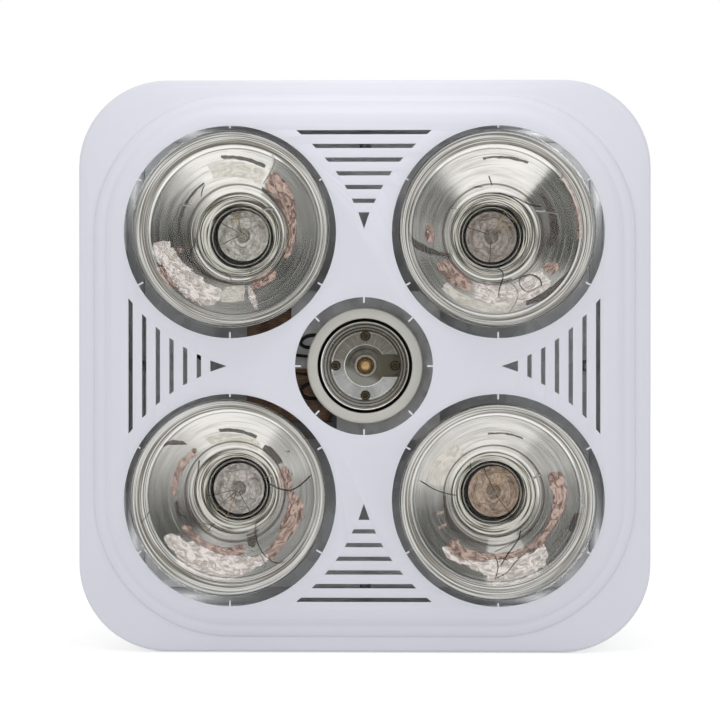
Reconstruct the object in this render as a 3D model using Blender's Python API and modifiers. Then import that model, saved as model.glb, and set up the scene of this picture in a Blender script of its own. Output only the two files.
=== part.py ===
"""Square ceiling unit with four heat lamps, a centre lampholder and an extractor blower.

The panel faces -Y and +Z is the top of the panel as it is seen. The plane y = 0 is the
ceiling, and everything at +Y is above it. The origin is the centre of the ceiling cut-out.
"""
import math

import bmesh
import bpy
from mathutils import Matrix, Vector

# Clearances
TOUCH = 0.0003                    # between pieces that seat on each other
OVERRUN = 0.002                   # how far a cut passes the surface that it cuts
LAP = 0.0008                      # how far a moulded-on piece reaches into its wall
MERGE = 0.00001                   # points nearer than this are one point

# Lamps and the holes around them
LAMP_RADIUS = 0.0635
LAMP_CLEARANCE = 0.00475
CENTRE_HOLE_RADIUS = 0.0443
HOLE_WEB = 0.00935
LAMP_LENGTH = 0.181
LAMP_CAP_LENGTH = 0.026
LAMP_CAP_RADIUS = 0.0132
GLASS_THICKNESS = 0.001
DOME_RADIUS = 0.1016
SHOULDER_RADIUS = 0.0135
DOME_TURN_SHARES = (0.45, 0.8, 1.0)
SHOULDER_TURN_SHARES = (0.5, 1.0)
LAMP_DRIFT_SHARES = {1: (0.115, 0.40), 2: (-0.13, 0.41), 3: (-0.33, 0.30), 4: (-0.02, -0.21)}
LAMP_SIDES = {1: (-1, 1), 2: (1, 1), 3: (-1, -1), 4: (1, -1)}
BOWL_SHARES = [(0.09, 0.975), (0.22, 0.89), (0.38, 0.72), (0.54, 0.535), (0.68, 0.40),
               (0.80, 0.355), (0.93, 0.335), (1.0, 0.225)]
CAP_CONTACT_RADIUS = 0.005
CAP_TAPER_LENGTH = 0.004
STEM_RADIUS = 0.011
STEM_TIP_RADIUS = 0.0045
STEM_LENGTH = 0.040

# Front panel
PANEL_THICKNESS = 0.0022
PANEL_DEPTH = 0.018               # panel face below the ceiling
RIM_DEPTH = 0.0095
RIM_FALL = 0.0013
RIM_EDGE_RADIUS = 0.0028
RIM_EDGE_TURNS = (0.0, 50.0, 90.0)
RIM_WIDTH = 0.0098
MOULDING_WIDTH = 0.02075          # from a lamp hole's edge to the foot of the moulding
PANEL_CORNER_RADIUS = 0.057
MOULDING_SHARES = [(0.0, 0.0), (0.072, 0.294), (0.217, 0.482), (0.376, 0.529),
                   (0.453, 0.718), (0.602, 0.929), (0.771, 1.0)]
CORNER_STEPS = 6
SLOT_COUNT = 6
SLOT_PITCH = 0.0088
SLOT_WIDTH = 0.0028
GRILLE_INSET = 0.00425
SLOT_HALF_LENGTH_SHARES = [0.506, 0.389, 0.293, 0.211, 0.145, 0.091, 0.046]
POINTER_BASE = 0.0072
POINTER_HEIGHT = 0.0105
TICK_WIDTH = 0.0012
TICK_GAP_SHARE = 0.6
TICK_SINK = 0.0003
LAMP_TICKS = 6
FIRST_TICK_ANGLE = 30.0
CENTRE_TICKS = 8
RIB_THICKNESS = 0.002
RIB_LENGTH = 0.050

# Panel springs and the eyes that they hook into
SPRING_WIRE_RADIUS = 0.00045
SPRING_RADIUS = 0.0033
SPRING_CURLS = 5
CURL_STEPS = 8
HOOK_RADIUS = 0.0025
HOOK_STEPS = 4
HOOK_TAIL = 0.002
EYE_RADIUS = 0.0015
EYE_WALL = 0.0013
LUG_THICKNESS = 0.002
LUG_WIDTH = 0.005
LUG_EYE_HEIGHT = 0.0078
TAB_EYE_DEPTH = 0.062
TAB_LENGTH = 0.010

# Housing
SHEET = 0.001
WALL_GAP = 0.0043
HOUSING_DEPTH = 0.205
HOUSING_CORNER_RADIUS = 0.006
HOUSING_CORNER_STEPS = 3
FLANGE_WIDTH = 0.015
SCREW_HOLE_RADIUS = 0.0022
SCREW_HOLE_SHARE = 0.8            # place of a flange hole along the half side

# Chassis plate, which closes the blower at the front
CHASSIS_DEPTH = 0.096
INLET_RADIUS = 0.040
INLET_LIP = 0.003
NECK_HOLE_CLEARANCE = 0.010

# Blower
IMPELLER_RADIUS = 0.052
IMPELLER_BORE_SHARE = 0.82
IMPELLER_FRONT_GAP = 0.005
IMPELLER_DEPTH = 0.080
BLADE_COUNT = 20
BLADE_THICKNESS = 0.0012
BLADE_LEAN = 0.18                 # radians that a blade sweeps round
BLADE_STEPS = 2
HUB_RADIUS = 0.009
HUB_LENGTH = 0.022
DISC_THICKNESS = 0.002
SCROLL_DEPTH = 0.102
SCROLL_WALL = 0.0015
SCROLL_START_RADIUS = 0.060
SCROLL_END_RADIUS = 0.084
SCROLL_START_ANGLE = 128.0
SCROLL_STEPS = 16
OUTLET_HALF_WIDTH = 0.050
SCROLL_SHOULDER_SHARES = [(0.96, 0.30), (0.83, 0.53), (0.68, 0.72)]

# Duct spigot and its two damper vanes
DUCT_RADIUS = 0.0495
SPIGOT_WALL = 0.002
SPIGOT_LENGTH = 0.040
SPIGOT_FLANGE_WIDTH = 0.0045
DAMPER_HEIGHT = 0.017
DAMPER_PIN_RADIUS = 0.00125
DAMPER_PIN_CLEARANCE = 0.0003
VANE_THICKNESS = 0.0012
VANE_EDGE_GAP = 0.0009
VANE_STEPS = 16
KNUCKLE_RADIUS = 0.0026
KNUCKLE_SHARES = [(-0.80, -0.44), (-0.40, -0.04), (0.0, 0.36), (0.40, 0.76)]
SEAT_WIDTH = 0.002
SEAT_HEIGHT = 0.0015

# Motor
SHAFT_RADIUS = 0.003
SHAFT_FRONT_REACH = 0.036         # shaft end in front of the chassis plate
RUNNING_GAP = 0.0003
ROTOR_RADIUS = 0.0152
ROTOR_AIR_GAP = 0.0004
STACK_THICKNESS = 0.018
STACK_SETBACK = 0.010             # back of the laminations in front of the chassis plate
STACK_LEFT = 0.058
STACK_RIGHT = 0.022
STACK_HALF_HEIGHT = 0.050
STACK_BAR = 0.0115
LEG_WIDTH = 0.012
COIL_OVERHANG = 0.0082
COIL_CORNER_RADIUS = 0.005
BRACKET_SHEET = 0.0012
BRACKET_WIDTH = 0.022
BRACKET_FOOT = 0.009
BEARING_RADIUS = 0.006
BEARING_LENGTH = 0.005

# Centre lampholder and its bracket
HOLDER_SETBACK = 0.044            # back of the porcelain in front of the chassis plate
HOLDER_LENGTH = 0.035
HOLDER_RADIUS = 0.0381
HOLDER_BACK_RADIUS = 0.033
HOLDER_RIM_HEIGHT = 0.009
HOLDER_BORE_RADIUS = 0.0311
HOLDER_FLOOR = 0.006
SHELL_WALL = 0.0006
SHELL_RIM_RADIUS = 0.0295
SHELL_CREST_RADIUS = 0.0268
SHELL_ROOT_RADIUS = 0.0282
SHELL_LENGTH = 0.0215
SHELL_THREADS = 3
INSERT_RADIUS = 0.0262
INSERT_THICKNESS = 0.0056
RECESS_RADIUS = 0.0137
RECESS_DEPTH = 0.0034
NOTCH_WIDTH = 0.015
CONTACT_RADIUS = 0.0054
CONTACT_HEIGHT = 0.0055
CONTACT_EDGE_SHARE = 0.8          # where its domed top starts to fall
CONTACT_ROUND = 0.0018
INSERT_SCREW_CIRCLE = 0.0199
INSERT_SCREW_RADIUS = 0.0031
INSERT_SCREW_HEAD = 0.0014
INSERT_SCREW_CLEARANCE = 0.0004
LIGHT_BRACKET_WIDTH = 0.026
LIGHT_PLATE_MARGIN = 0.0057        # plate round the lampholder, past the panel's hole
LIGHT_PLATE_LEFT = 0.0195          # its left edge beside the winding
LIGHT_PLATE_STEP = 0.002           # below the middle: end of its upper left corner
LIGHT_BRACKET_GAP = 0.004         # between its legs and the feet of the motor bracket

# Porcelain holders of the heat lamps and their brackets
PORCELAIN_RADIUS = 0.023
PORCELAIN_WALL_BACK = 0.016
PORCELAIN_RIM = 0.003
YOKE_HALF_SPAN = 0.031
YOKE_WIDTH = 0.016

# Wiring entry on the left wall
TERMINAL_LENGTH = 0.046
TERMINAL_DEPTH = 0.018
TERMINAL_HEIGHT = 0.014
TERMINAL_WAYS = 4
TERMINAL_WELL_RADIUS = 0.0026
COVER_LENGTH = 0.066
COVER_DEPTH = 0.044
COVER_HEIGHT = 0.0265
COVER_PLACE_SHARE = 0.72          # place of the cover along the housing's depth
GLAND_RADIUS = 0.0062
GLAND_COLLAR_RADIUS = 0.0095
GLAND_COLLAR_LENGTH = 0.010
GLAND_NUT_SHARE = 0.6             # of the collar, before it tapers
GLAND_NECK_LENGTH = 0.007
GLAND_BORE_RADIUS = 0.0040
LEAD_RADIUS = 0.0011
LEAD_EXIT_SPREAD = 0.006          # half the distance between the leads at the lampholder
LEAD_EXIT_SETBACK = 0.008
LEAD_PAIR_SPREAD = 0.0015         # half the distance between the leads in a hole
LEAD_COIL_CLEARANCE = 0.012
LEAD_SIDE_CLEARANCE = 0.0091
LEAD_STRAIGHT = 0.006
LEAD_STEP = 0.0064                # distance between the points of a lead
ENTRY_SETBACK = 0.0157            # entry hole in front of the middle of the cover
GROMMET_ACROSS = 0.112
GROMMET_UP = 0.010
GROMMET_RADIUS = 0.0054
GROMMET_LIP = 0.0018
GROMMET_BORE_RADIUS = 0.0040
CUTOUT_RADIUS = 0.008
CUTOUT_LENGTH = 0.011
CUTOUT_PLACE = 0.069

# Places that follow from the sizes above
lamp_hole_radius = LAMP_RADIUS + LAMP_CLEARANCE
lamp_offset = (CENTRE_HOLE_RADIUS + lamp_hole_radius + HOLE_WEB) / math.sqrt(2.0)
moulding_radius = lamp_hole_radius + MOULDING_WIDTH
panel_half = lamp_offset + moulding_radius + RIM_WIDTH
panel_back = PANEL_THICKNESS - PANEL_DEPTH
lamp_widest = PANEL_THICKNESS / 2.0 - PANEL_DEPTH
housing_half = lamp_offset + LAMP_RADIUS + WALL_GAP + SHEET
housing_inside = housing_half - SHEET
flange_half = housing_half + FLANGE_WIDTH
grille_outer = lamp_offset + lamp_hole_radius - GRILLE_INSET
spring_place = grille_outer - SLOT_PITCH / 2.0
lug_eye = panel_back + LUG_EYE_HEIGHT
scroll_front = CHASSIS_DEPTH + SHEET + TOUCH
scroll_back = scroll_front + SCROLL_DEPTH
duct_place = (scroll_front + scroll_back) / 2.0
spigot_base = housing_half + TOUCH
spigot_end = spigot_base + SPIGOT_LENGTH
spigot_bore = DUCT_RADIUS - SPIGOT_WALL
damper_place = spigot_base + DAMPER_HEIGHT
stack_back = CHASSIS_DEPTH - STACK_SETBACK
stack_front = stack_back - STACK_THICKNESS
coil_build = STACK_LEFT - LEG_WIDTH - STACK_RIGHT - 2.0 * TOUCH
impeller_front = scroll_front + IMPELLER_FRONT_GAP
impeller_back = impeller_front + IMPELLER_DEPTH
holder_back = CHASSIS_DEPTH - HOLDER_SETBACK
porcelain_front = holder_back - HOLDER_LENGTH
holder_floor = holder_back - HOLDER_FLOOR
light_bracket_half_span = STACK_HALF_HEIGHT + 2.0 * BRACKET_FOOT + LIGHT_BRACKET_GAP
light_plate_half = CENTRE_HOLE_RADIUS + LIGHT_PLATE_MARGIN
insert_front = holder_floor - TOUCH - INSERT_THICKNESS
insert_floor = insert_front + RECESS_DEPTH
cover_middle = COVER_PLACE_SHARE * HOUSING_DEPTH
entry_depth = cover_middle - ENTRY_SETBACK

unit = bpy.data.collections.new("ceiling_heat_light_extractor")
tools = bpy.data.collections.new("cutters")


def clear_scene():
    """Remove what the scene held before."""
    for thing in list(bpy.data.objects):
        bpy.data.objects.remove(thing, do_unlink=True)
    bpy.context.scene.collection.children.link(unit)
    bpy.context.scene.collection.children.link(tools)


def make_material(name, colour, roughness, metallic=0.0):
    """A plain surface with one colour, roughness and metallic value."""
    material = bpy.data.materials.new(name)
    material.use_nodes = True
    shader = material.node_tree.nodes["Principled BSDF"]
    shader.inputs["Base Color"].default_value = (*colour, 1.0)
    shader.inputs["Roughness"].default_value = roughness
    shader.inputs["Metallic"].default_value = metallic
    return material


def add_mesh(name, mesh, material, place=(0.0, 0.0, 0.0), home=None):
    """Put a mesh in the scene as a named piece."""
    piece = bpy.data.objects.new(name, mesh)
    piece.location = place
    if material:
        mesh.materials.append(material)
    (home or unit).objects.link(piece)
    if (home or unit) is tools:
        piece.hide_render = True
        piece.display_type = "WIRE"
    return piece


def smooth(mesh, angle=35.0):
    """Shade a round piece smooth, with its corners kept sharp."""
    mesh.shade_smooth()
    mesh.set_sharp_from_angle(angle=math.radians(angle))


def mesh_from(builder, name):
    """A mesh out of a bmesh, with its faces pointing out."""
    bmesh.ops.recalc_face_normals(builder, faces=builder.faces)
    if builder.calc_volume(signed=True) < 0.0:
        bmesh.ops.reverse_faces(builder, faces=builder.faces)
    mesh = bpy.data.meshes.new(name)
    builder.to_mesh(mesh)
    builder.free()
    return mesh


def box_into(builder, low, high, turn=None):
    """Add a box between two corners to a bmesh."""
    middle = (Vector(low) + Vector(high)) / 2.0
    size = Vector(high) - Vector(low)
    matrix = Matrix.Translation(middle) @ Matrix.Diagonal((*size, 1.0))
    if turn is not None:
        matrix = turn @ matrix
    bmesh.ops.create_cube(builder, size=1.0, matrix=matrix)


def box(name, low, high, material, home=None):
    """A plain box between two corners."""
    builder = bmesh.new()
    box_into(builder, low, high)
    return add_mesh(name, mesh_from(builder, name), material, home=home)


def rod_into(builder, radius, start, end, steps=24):
    """Add a cylinder between two points to a bmesh."""
    run = Vector(end) - Vector(start)
    matrix = Matrix.Translation((Vector(start) + Vector(end)) / 2.0)
    matrix = matrix @ run.to_track_quat("Z", "Y").to_matrix().to_4x4()
    bmesh.ops.create_cone(builder, cap_ends=True, segments=steps, radius1=radius,
                          radius2=radius, depth=run.length, matrix=matrix)


def rod(name, radius, start, end, material, steps=24, home=None):
    """A cylinder between two points."""
    builder = bmesh.new()
    rod_into(builder, radius, start, end, steps)
    mesh = mesh_from(builder, name)
    smooth(mesh)
    return add_mesh(name, mesh, material, home=home)


def cut(piece, cutter):
    """Take a cutter's space out of a piece."""
    modifier = piece.modifiers.new("cut by " + cutter.name, "BOOLEAN")
    modifier.operation = "DIFFERENCE"
    modifier.solver = "EXACT"
    modifier.object = cutter


def join(piece, addition):
    """Make an added shape one solid with a piece."""
    modifier = piece.modifiers.new("joined to " + addition.name, "BOOLEAN")
    modifier.operation = "UNION"
    modifier.solver = "EXACT"
    modifier.object = addition


def solidify(piece, thickness, offset=-1.0):
    """Give a surface its wall, on the inner side unless told otherwise."""
    modifier = piece.modifiers.new("wall", "SOLIDIFY")
    modifier.thickness = thickness
    modifier.offset = offset
    modifier.use_even_offset = True


def turned(name, profile, material, centre=(0.0, 0.0), steps=32, home=None):
    """Turn a profile of (radius, y) points about a line along Y.

    A closed solid's profile runs down its outer side from the back to the front, or starts
    and ends on the axis.
    """
    mesh = bpy.data.meshes.new(name)
    points = [(radius, 0.0, depth) for radius, depth in profile]
    on_axis = profile[0][0] == 0.0 and profile[-1][0] == 0.0
    edges = [(index, index + 1) for index in range(len(points) - 1)]
    if not on_axis:
        edges.append((len(points) - 1, 0))
    mesh.from_pydata(points, edges, [])
    piece = add_mesh(name, mesh, material, (centre[0], 0.0, centre[1]), home)
    piece.rotation_euler.x = math.radians(-90.0)
    add_screw(piece, steps)
    return piece


def add_screw(piece, steps):
    """Turn a profile through a full circle."""
    screw = piece.modifiers.new("turn", "SCREW")
    screw.angle = math.tau
    screw.steps = steps
    screw.render_steps = steps
    screw.use_merge_vertices = True
    screw.merge_threshold = MERGE
    screw.use_smooth_shade = True


def turned_shell(name, profile, wall, material, centre=(0.0, 0.0), steps=20):
    """Turn an open profile about a line along Y and give it a wall on the inner side."""
    mesh = bpy.data.meshes.new(name)
    mesh.from_pydata([(radius, 0.0, depth) for radius, depth in profile],
                     [(index, index + 1) for index in range(len(profile) - 1)], [])
    piece = add_mesh(name, mesh, material, (centre[0], 0.0, centre[1]))
    piece.rotation_euler.x = math.radians(-90.0)
    add_screw(piece, steps)
    solidify(piece, wall)
    return piece


def flat_solid(name, outline, low, high, material, home=None, holes=()):
    """A flat outline of (x, z) points with a thickness along Y, from a filled curve."""
    curve = bpy.data.curves.new(name + " outline", "CURVE")
    curve.dimensions = "2D"
    curve.fill_mode = "BOTH"
    curve.extrude = (high - low) / 2.0
    for ring in (outline, *holes):
        spline = curve.splines.new("POLY")
        spline.points.add(len(ring) - 1)
        for point, (across, up) in zip(spline.points, ring):
            point.co = (across, up, 0.0, 1.0)
        spline.use_cyclic_u = True
    drawing = bpy.data.objects.new(name + " outline", curve)
    drawing.rotation_euler.x = math.radians(90.0)
    drawing.location = (0.0, (low + high) / 2.0, 0.0)
    bpy.context.scene.collection.objects.link(drawing)
    bpy.context.view_layer.update()
    mesh = bpy.data.meshes.new_from_object(drawing.evaluated_get(
        bpy.context.evaluated_depsgraph_get()))
    matrix = drawing.matrix_world.copy()
    bpy.data.objects.remove(drawing, do_unlink=True)
    builder = bmesh.new()
    builder.from_mesh(mesh)
    bmesh.ops.remove_doubles(builder, verts=builder.verts, dist=MERGE)
    builder.transform(matrix)
    bpy.data.meshes.remove(mesh)
    return add_mesh(name, mesh_from(builder, name), material, home=home)


def circle_points(radius, steps, centre=(0.0, 0.0), start=0.0, sweep=math.tau):
    """Points round a circle, or along an arc with both of its ends."""
    count = steps if sweep == math.tau else steps + 1
    return [(centre[0] + radius * math.cos(start + sweep * index / steps),
             centre[1] + radius * math.sin(start + sweep * index / steps))
            for index in range(count)]


def rounded_square(centre, radius, steps):
    """A square with round corners whose arc centres lie at a distance from the middle."""
    ring = []
    for quarter, (side, up) in enumerate(((1, 1), (-1, 1), (-1, -1), (1, -1))):
        ring += circle_points(radius, steps, (side * centre, up * centre),
                              quarter * math.pi / 2.0, math.pi / 2.0)
    return ring


def loft(name, rings, material, close_last=False):
    """An open surface through rings of (x, z) points at their y."""
    builder = bmesh.new()
    rows = [[builder.verts.new((across, depth, up)) for across, up in ring]
            for ring, depth in rings]
    for row, following in zip(rows, rows[1:]):
        for index in range(len(row)):
            after = (index + 1) % len(row)
            builder.faces.new((row[index], row[after], following[after], following[index]))
    if close_last:
        builder.faces.new(rows[-1])
    mesh = mesh_from(builder, name)
    return add_mesh(name, mesh, material)


def turn_about_y(degrees):
    """A turn in the plane of the panel."""
    return Matrix.Rotation(math.radians(degrees), 4, "Y")


def lamp_centre(number):
    """Where a heat lamp's axis meets the panel."""
    side, up = LAMP_SIDES[number]
    drift = LAMP_DRIFT_SHARES[number]
    return (side * lamp_offset + drift[0] * LAMP_CLEARANCE,
            up * lamp_offset + drift[1] * LAMP_CLEARANCE)


def hole_centre(number):
    """Where the middle of a heat lamp's hole is."""
    side, up = LAMP_SIDES[number]
    return (side * lamp_offset, up * lamp_offset)


def panel_rings():
    """The panel's cross-section from the ceiling edge to the flat face, as rings."""
    centre = panel_half - PANEL_CORNER_RADIUS
    rim_front = -(RIM_DEPTH - RIM_FALL)
    rings = [(rounded_square(centre, PANEL_CORNER_RADIUS, CORNER_STEPS), 0.0)]
    for turn in RIM_EDGE_TURNS:
        inward = RIM_EDGE_RADIUS * (1.0 - math.cos(math.radians(turn)))
        fall = RIM_EDGE_RADIUS * (1.0 - math.sin(math.radians(turn)))
        rings.append((rounded_square(centre, PANEL_CORNER_RADIUS - inward, CORNER_STEPS),
                      rim_front + fall))
    rise = PANEL_DEPTH - RIM_DEPTH
    for width_share, rise_share in MOULDING_SHARES:
        radius = moulding_radius - MOULDING_WIDTH * width_share
        rings.append((rounded_square(lamp_offset, radius, CORNER_STEPS),
                      -(RIM_DEPTH + rise * rise_share)))
    return rings


def grille_cutters():
    """Slots that shorten towards the middle, with a pointer at the inner end, four times."""
    builder = bmesh.new()
    front = -(PANEL_DEPTH + OVERRUN)
    back = panel_back + OVERRUN
    shapes = []
    for index in range(SLOT_COUNT):
        outer = grille_outer - index * SLOT_PITCH + SLOT_WIDTH / 2.0
        inner = outer - SLOT_WIDTH
        long_half = lamp_offset * SLOT_HALF_LENGTH_SHARES[index]
        next_half = lamp_offset * SLOT_HALF_LENGTH_SHARES[index + 1]
        short_half = long_half - (long_half - next_half) * SLOT_WIDTH / SLOT_PITCH
        shapes.append([(-long_half, outer), (long_half, outer),
                       (short_half, inner), (-short_half, inner)])
    base = grille_outer - SLOT_COUNT * SLOT_PITCH + SLOT_WIDTH / 2.0
    shapes.append([(-POINTER_BASE / 2.0, base), (POINTER_BASE / 2.0, base),
                   (0.0, base - POINTER_HEIGHT)])
    for side in range(4):
        turn = turn_about_y(90.0 * side)
        for shape in shapes:
            low = [builder.verts.new(turn @ Vector((across, front, up))) for across, up in shape]
            high = [builder.verts.new(turn @ Vector((across, back, up))) for across, up in shape]
            builder.faces.new(low)
            builder.faces.new(high)
            for index in range(len(shape)):
                after = (index + 1) % len(shape)
                builder.faces.new((low[index], low[after], high[after], high[index]))
    return add_mesh("panel grille slots", mesh_from(builder, "slots"), None, home=tools)


def hole_cutters():
    """The four lamp holes and the centre hole."""
    builder = bmesh.new()
    front = -(PANEL_DEPTH + OVERRUN)
    back = panel_back + OVERRUN
    for number in LAMP_SIDES:
        across, up = hole_centre(number)
        rod_into(builder, lamp_hole_radius, (across, front, up), (across, back, up), 36)
    rod_into(builder, CENTRE_HOLE_RADIUS, (0.0, front, 0.0), (0.0, back, 0.0), 28)
    return add_mesh("panel lamp holes", mesh_from(builder, "holes"), None, home=tools)


def tick_shapes():
    """Small tabs on the rims of the holes, each a share of the gap that it stands in."""
    builder = bmesh.new()
    front = TICK_SINK - PANEL_DEPTH
    back = panel_back - TICK_SINK
    for number in LAMP_SIDES:
        across, up = hole_centre(number)
        lamp_across, lamp_up = lamp_centre(number)
        for index in range(LAMP_TICKS):
            angle = FIRST_TICK_ANGLE + 360.0 * index / LAMP_TICKS
            outward = Vector((math.cos(math.radians(angle)), math.sin(math.radians(angle))))
            lean = (lamp_across - across) * outward.x + (lamp_up - up) * outward.y
            length = TICK_GAP_SHARE * (LAMP_CLEARANCE - lean)
            turn = Matrix.Translation((across, 0.0, up)) @ turn_about_y(-angle)
            box_into(builder, (lamp_hole_radius - length, front, -TICK_WIDTH / 2.0),
                     (lamp_hole_radius + LAP, back, TICK_WIDTH / 2.0), turn)
    for index in range(CENTRE_TICKS):
        length = TICK_GAP_SHARE * (CENTRE_HOLE_RADIUS - HOLDER_RADIUS)
        box_into(builder, (CENTRE_HOLE_RADIUS - length, front, -TICK_WIDTH / 2.0),
                 (CENTRE_HOLE_RADIUS + LAP, back, TICK_WIDTH / 2.0),
                 turn_about_y(360.0 * index / CENTRE_TICKS))
    return add_mesh("panel ticks", mesh_from(builder, "ticks"), None, home=tools)


def rib_and_lug_shapes():
    """Ribs that bear on the housing flange, and the lugs that the springs pull on."""
    builder = bmesh.new()
    rib_place = (housing_half + flange_half) / 2.0
    lug_top = lug_eye + EYE_RADIUS + EYE_WALL
    for side in range(4):
        turn = turn_about_y(90.0 * side)
        box_into(builder, (-RIB_LENGTH / 2.0, panel_back - LAP, rib_place - RIB_THICKNESS / 2.0),
                 (RIB_LENGTH / 2.0, -(SHEET + TOUCH), rib_place + RIB_THICKNESS / 2.0), turn)
        box_into(builder, (-LUG_THICKNESS / 2.0, panel_back - LAP, spring_place - LUG_WIDTH / 2.0),
                 (LUG_THICKNESS / 2.0, lug_top, spring_place + LUG_WIDTH / 2.0), turn)
    return add_mesh("panel ribs and lugs", mesh_from(builder, "ribs"), None, home=tools)


def eye_cutters(name, depth):
    """Holes for the spring hooks, across the four lugs or tabs."""
    builder = bmesh.new()
    for side in range(4):
        turn = turn_about_y(90.0 * side)
        start = turn @ Vector((-LUG_THICKNESS, depth, spring_place))
        end = turn @ Vector((LUG_THICKNESS, depth, spring_place))
        rod_into(builder, EYE_RADIUS, start, end, 8)
    return add_mesh(name, mesh_from(builder, name), None, home=tools)


def make_panel(material):
    """The white front panel."""
    panel = loft("fascia", panel_rings(), material, close_last=True)
    smooth(panel.data, 30.0)
    solidify(panel, PANEL_THICKNESS)
    cut(panel, hole_cutters())
    cut(panel, grille_cutters())
    join(panel, rib_and_lug_shapes())
    cut(panel, eye_cutters("panel lug eyes", lug_eye))
    join(panel, tick_shapes())


def hook_points(depth, direction):
    """A hook through an eye, opening along Y in the given direction, with its free tail."""
    middle = depth + direction * HOOK_RADIUS
    points = [Vector((-HOOK_RADIUS, middle + direction * HOOK_TAIL, 0.0))]
    for index in range(HOOK_STEPS + 1):
        angle = math.pi * index / HOOK_STEPS
        points.append(Vector((-HOOK_RADIUS * math.cos(angle),
                              middle - direction * HOOK_RADIUS * math.sin(angle), 0.0)))
    return points


def spring_points():
    """One unbroken wire: a hook, the curls and the other hook."""
    near = hook_points(lug_eye, 1.0)
    far = hook_points(TAB_EYE_DEPTH, -1.0)
    start = near[-1].y + 2.0 * HOOK_TAIL
    end = far[-1].y - 2.0 * HOOK_TAIL
    total = SPRING_CURLS * CURL_STEPS
    curls = []
    for index in range(total + 1):
        angle = math.tau * index / CURL_STEPS
        curls.append(Vector((SPRING_RADIUS * math.cos(angle),
                             start + (end - start) * index / total,
                             SPRING_RADIUS * math.sin(angle))))
    return near + curls + far[::-1]


def report_least_gap(name, points, radius):
    """Measure how near a wire comes to itself, leaving out its neighbours along the run."""
    least = None
    for index, point in enumerate(points):
        travelled = 0.0
        for other in range(index + 1, len(points)):
            travelled += (points[other] - points[other - 1]).length
            if travelled > math.pi * SPRING_RADIUS:
                gap = (points[other] - point).length - 2.0 * radius
                least = gap if least is None else min(least, gap)
    print(f"{name}: least gap to itself {least * 1000.0:.2f} mm")


def wire(name, points, radius, material):
    """One unbroken round wire through points."""
    curve = bpy.data.curves.new(name, "CURVE")
    curve.dimensions = "3D"
    curve.bevel_depth = radius
    curve.bevel_resolution = 1
    curve.use_fill_caps = True
    curve.materials.append(material)
    spline = curve.splines.new("POLY")
    spline.points.add(len(points) - 1)
    for target, point in zip(spline.points, points):
        target.co = (point.x, point.y, point.z, 1.0)
    piece = bpy.data.objects.new(name, curve)
    unit.objects.link(piece)
    return piece


def make_springs(material):
    """Four extension springs that hold the panel up against the ceiling."""
    points = spring_points()
    report_least_gap("panel spring", points, SPRING_WIRE_RADIUS)
    for side in range(4):
        name = f"fascia_spring_{side + 1}"
        spring = wire(name, points, SPRING_WIRE_RADIUS, material)
        spring.location = turn_about_y(90.0 * side) @ Vector((0.0, 0.0, spring_place))
        spring.rotation_euler.y = math.radians(90.0 * side)


def make_housing(material):
    """The sheet metal box above the ceiling, with its flange and the panel's spring tabs."""
    corner = housing_half - HOUSING_CORNER_RADIUS
    flange_ring = rounded_square(corner, HOUSING_CORNER_RADIUS + FLANGE_WIDTH,
                                 HOUSING_CORNER_STEPS)
    wall_ring = rounded_square(corner, HOUSING_CORNER_RADIUS, HOUSING_CORNER_STEPS)
    housing = loft("housing", [(flange_ring, 0.0), (wall_ring, 0.0),
                               (wall_ring, HOUSING_DEPTH)], material, close_last=True)
    solidify(housing, SHEET)
    tabs = bmesh.new()
    tab_front = TAB_EYE_DEPTH - EYE_RADIUS - EYE_WALL
    for side in range(4):
        box_into(tabs, (-SHEET / 2.0, tab_front, spring_place - LUG_WIDTH / 2.0),
                 (SHEET / 2.0, tab_front + TAB_LENGTH, housing_inside + SHEET / 2.0),
                 turn_about_y(90.0 * side))
    join(housing, add_mesh("housing tabs", mesh_from(tabs, "tabs"), None, home=tools))
    cut(housing, eye_cutters("housing tab eyes", TAB_EYE_DEPTH))
    holes = bmesh.new()
    rod_into(holes, spigot_bore, (0.0, duct_place, housing_inside - OVERRUN),
             (0.0, duct_place, housing_half + OVERRUN), 28)
    across = SCREW_HOLE_SHARE * housing_half
    along = (housing_half + flange_half) / 2.0
    for side in range(4):
        for place in (-across, across):
            start = turn_about_y(90.0 * side) @ Vector((place, -(SHEET + OVERRUN), along))
            end = turn_about_y(90.0 * side) @ Vector((place, OVERRUN, along))
            rod_into(holes, SCREW_HOLE_RADIUS, start, end, 8)
    rod_into(holes, GLAND_BORE_RADIUS, (-(housing_half + OVERRUN), entry_depth, 0.0),
             (-(housing_inside - OVERRUN), entry_depth, 0.0), 12)
    cut(housing, add_mesh("housing holes", mesh_from(holes, "holes"), None, home=tools))


def make_chassis(material):
    """The plate that carries the blower, the motor and the lampholders."""
    half = housing_inside - TOUCH
    corner = HOUSING_CORNER_RADIUS - SHEET
    outline = rounded_square(half - corner, corner, HOUSING_CORNER_STEPS)
    holes = [circle_points(INLET_RADIUS, 28)]
    for number in LAMP_SIDES:
        holes.append(circle_points(BOWL_SHARES[5][1] * LAMP_RADIUS + NECK_HOLE_CLEARANCE, 18,
                                   lamp_centre(number)))
    holes.append(circle_points(GROMMET_RADIUS + TOUCH, 12, (-GROMMET_ACROSS, GROMMET_UP)))
    plate = flat_solid("chassis_plate", outline, CHASSIS_DEPTH, CHASSIS_DEPTH + SHEET,
                       material, holes=holes)
    lip = turned("inlet lip", [(INLET_RADIUS + LAP, CHASSIS_DEPTH + SHEET + INLET_LIP),
                               (INLET_RADIUS + LAP, CHASSIS_DEPTH + SHEET / 2.0),
                               (INLET_RADIUS - SHEET, CHASSIS_DEPTH + SHEET / 2.0),
                               (INLET_RADIUS - SHEET, CHASSIS_DEPTH + SHEET + INLET_LIP)],
                 None, steps=28, home=tools)
    join(plate, lip)


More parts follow.
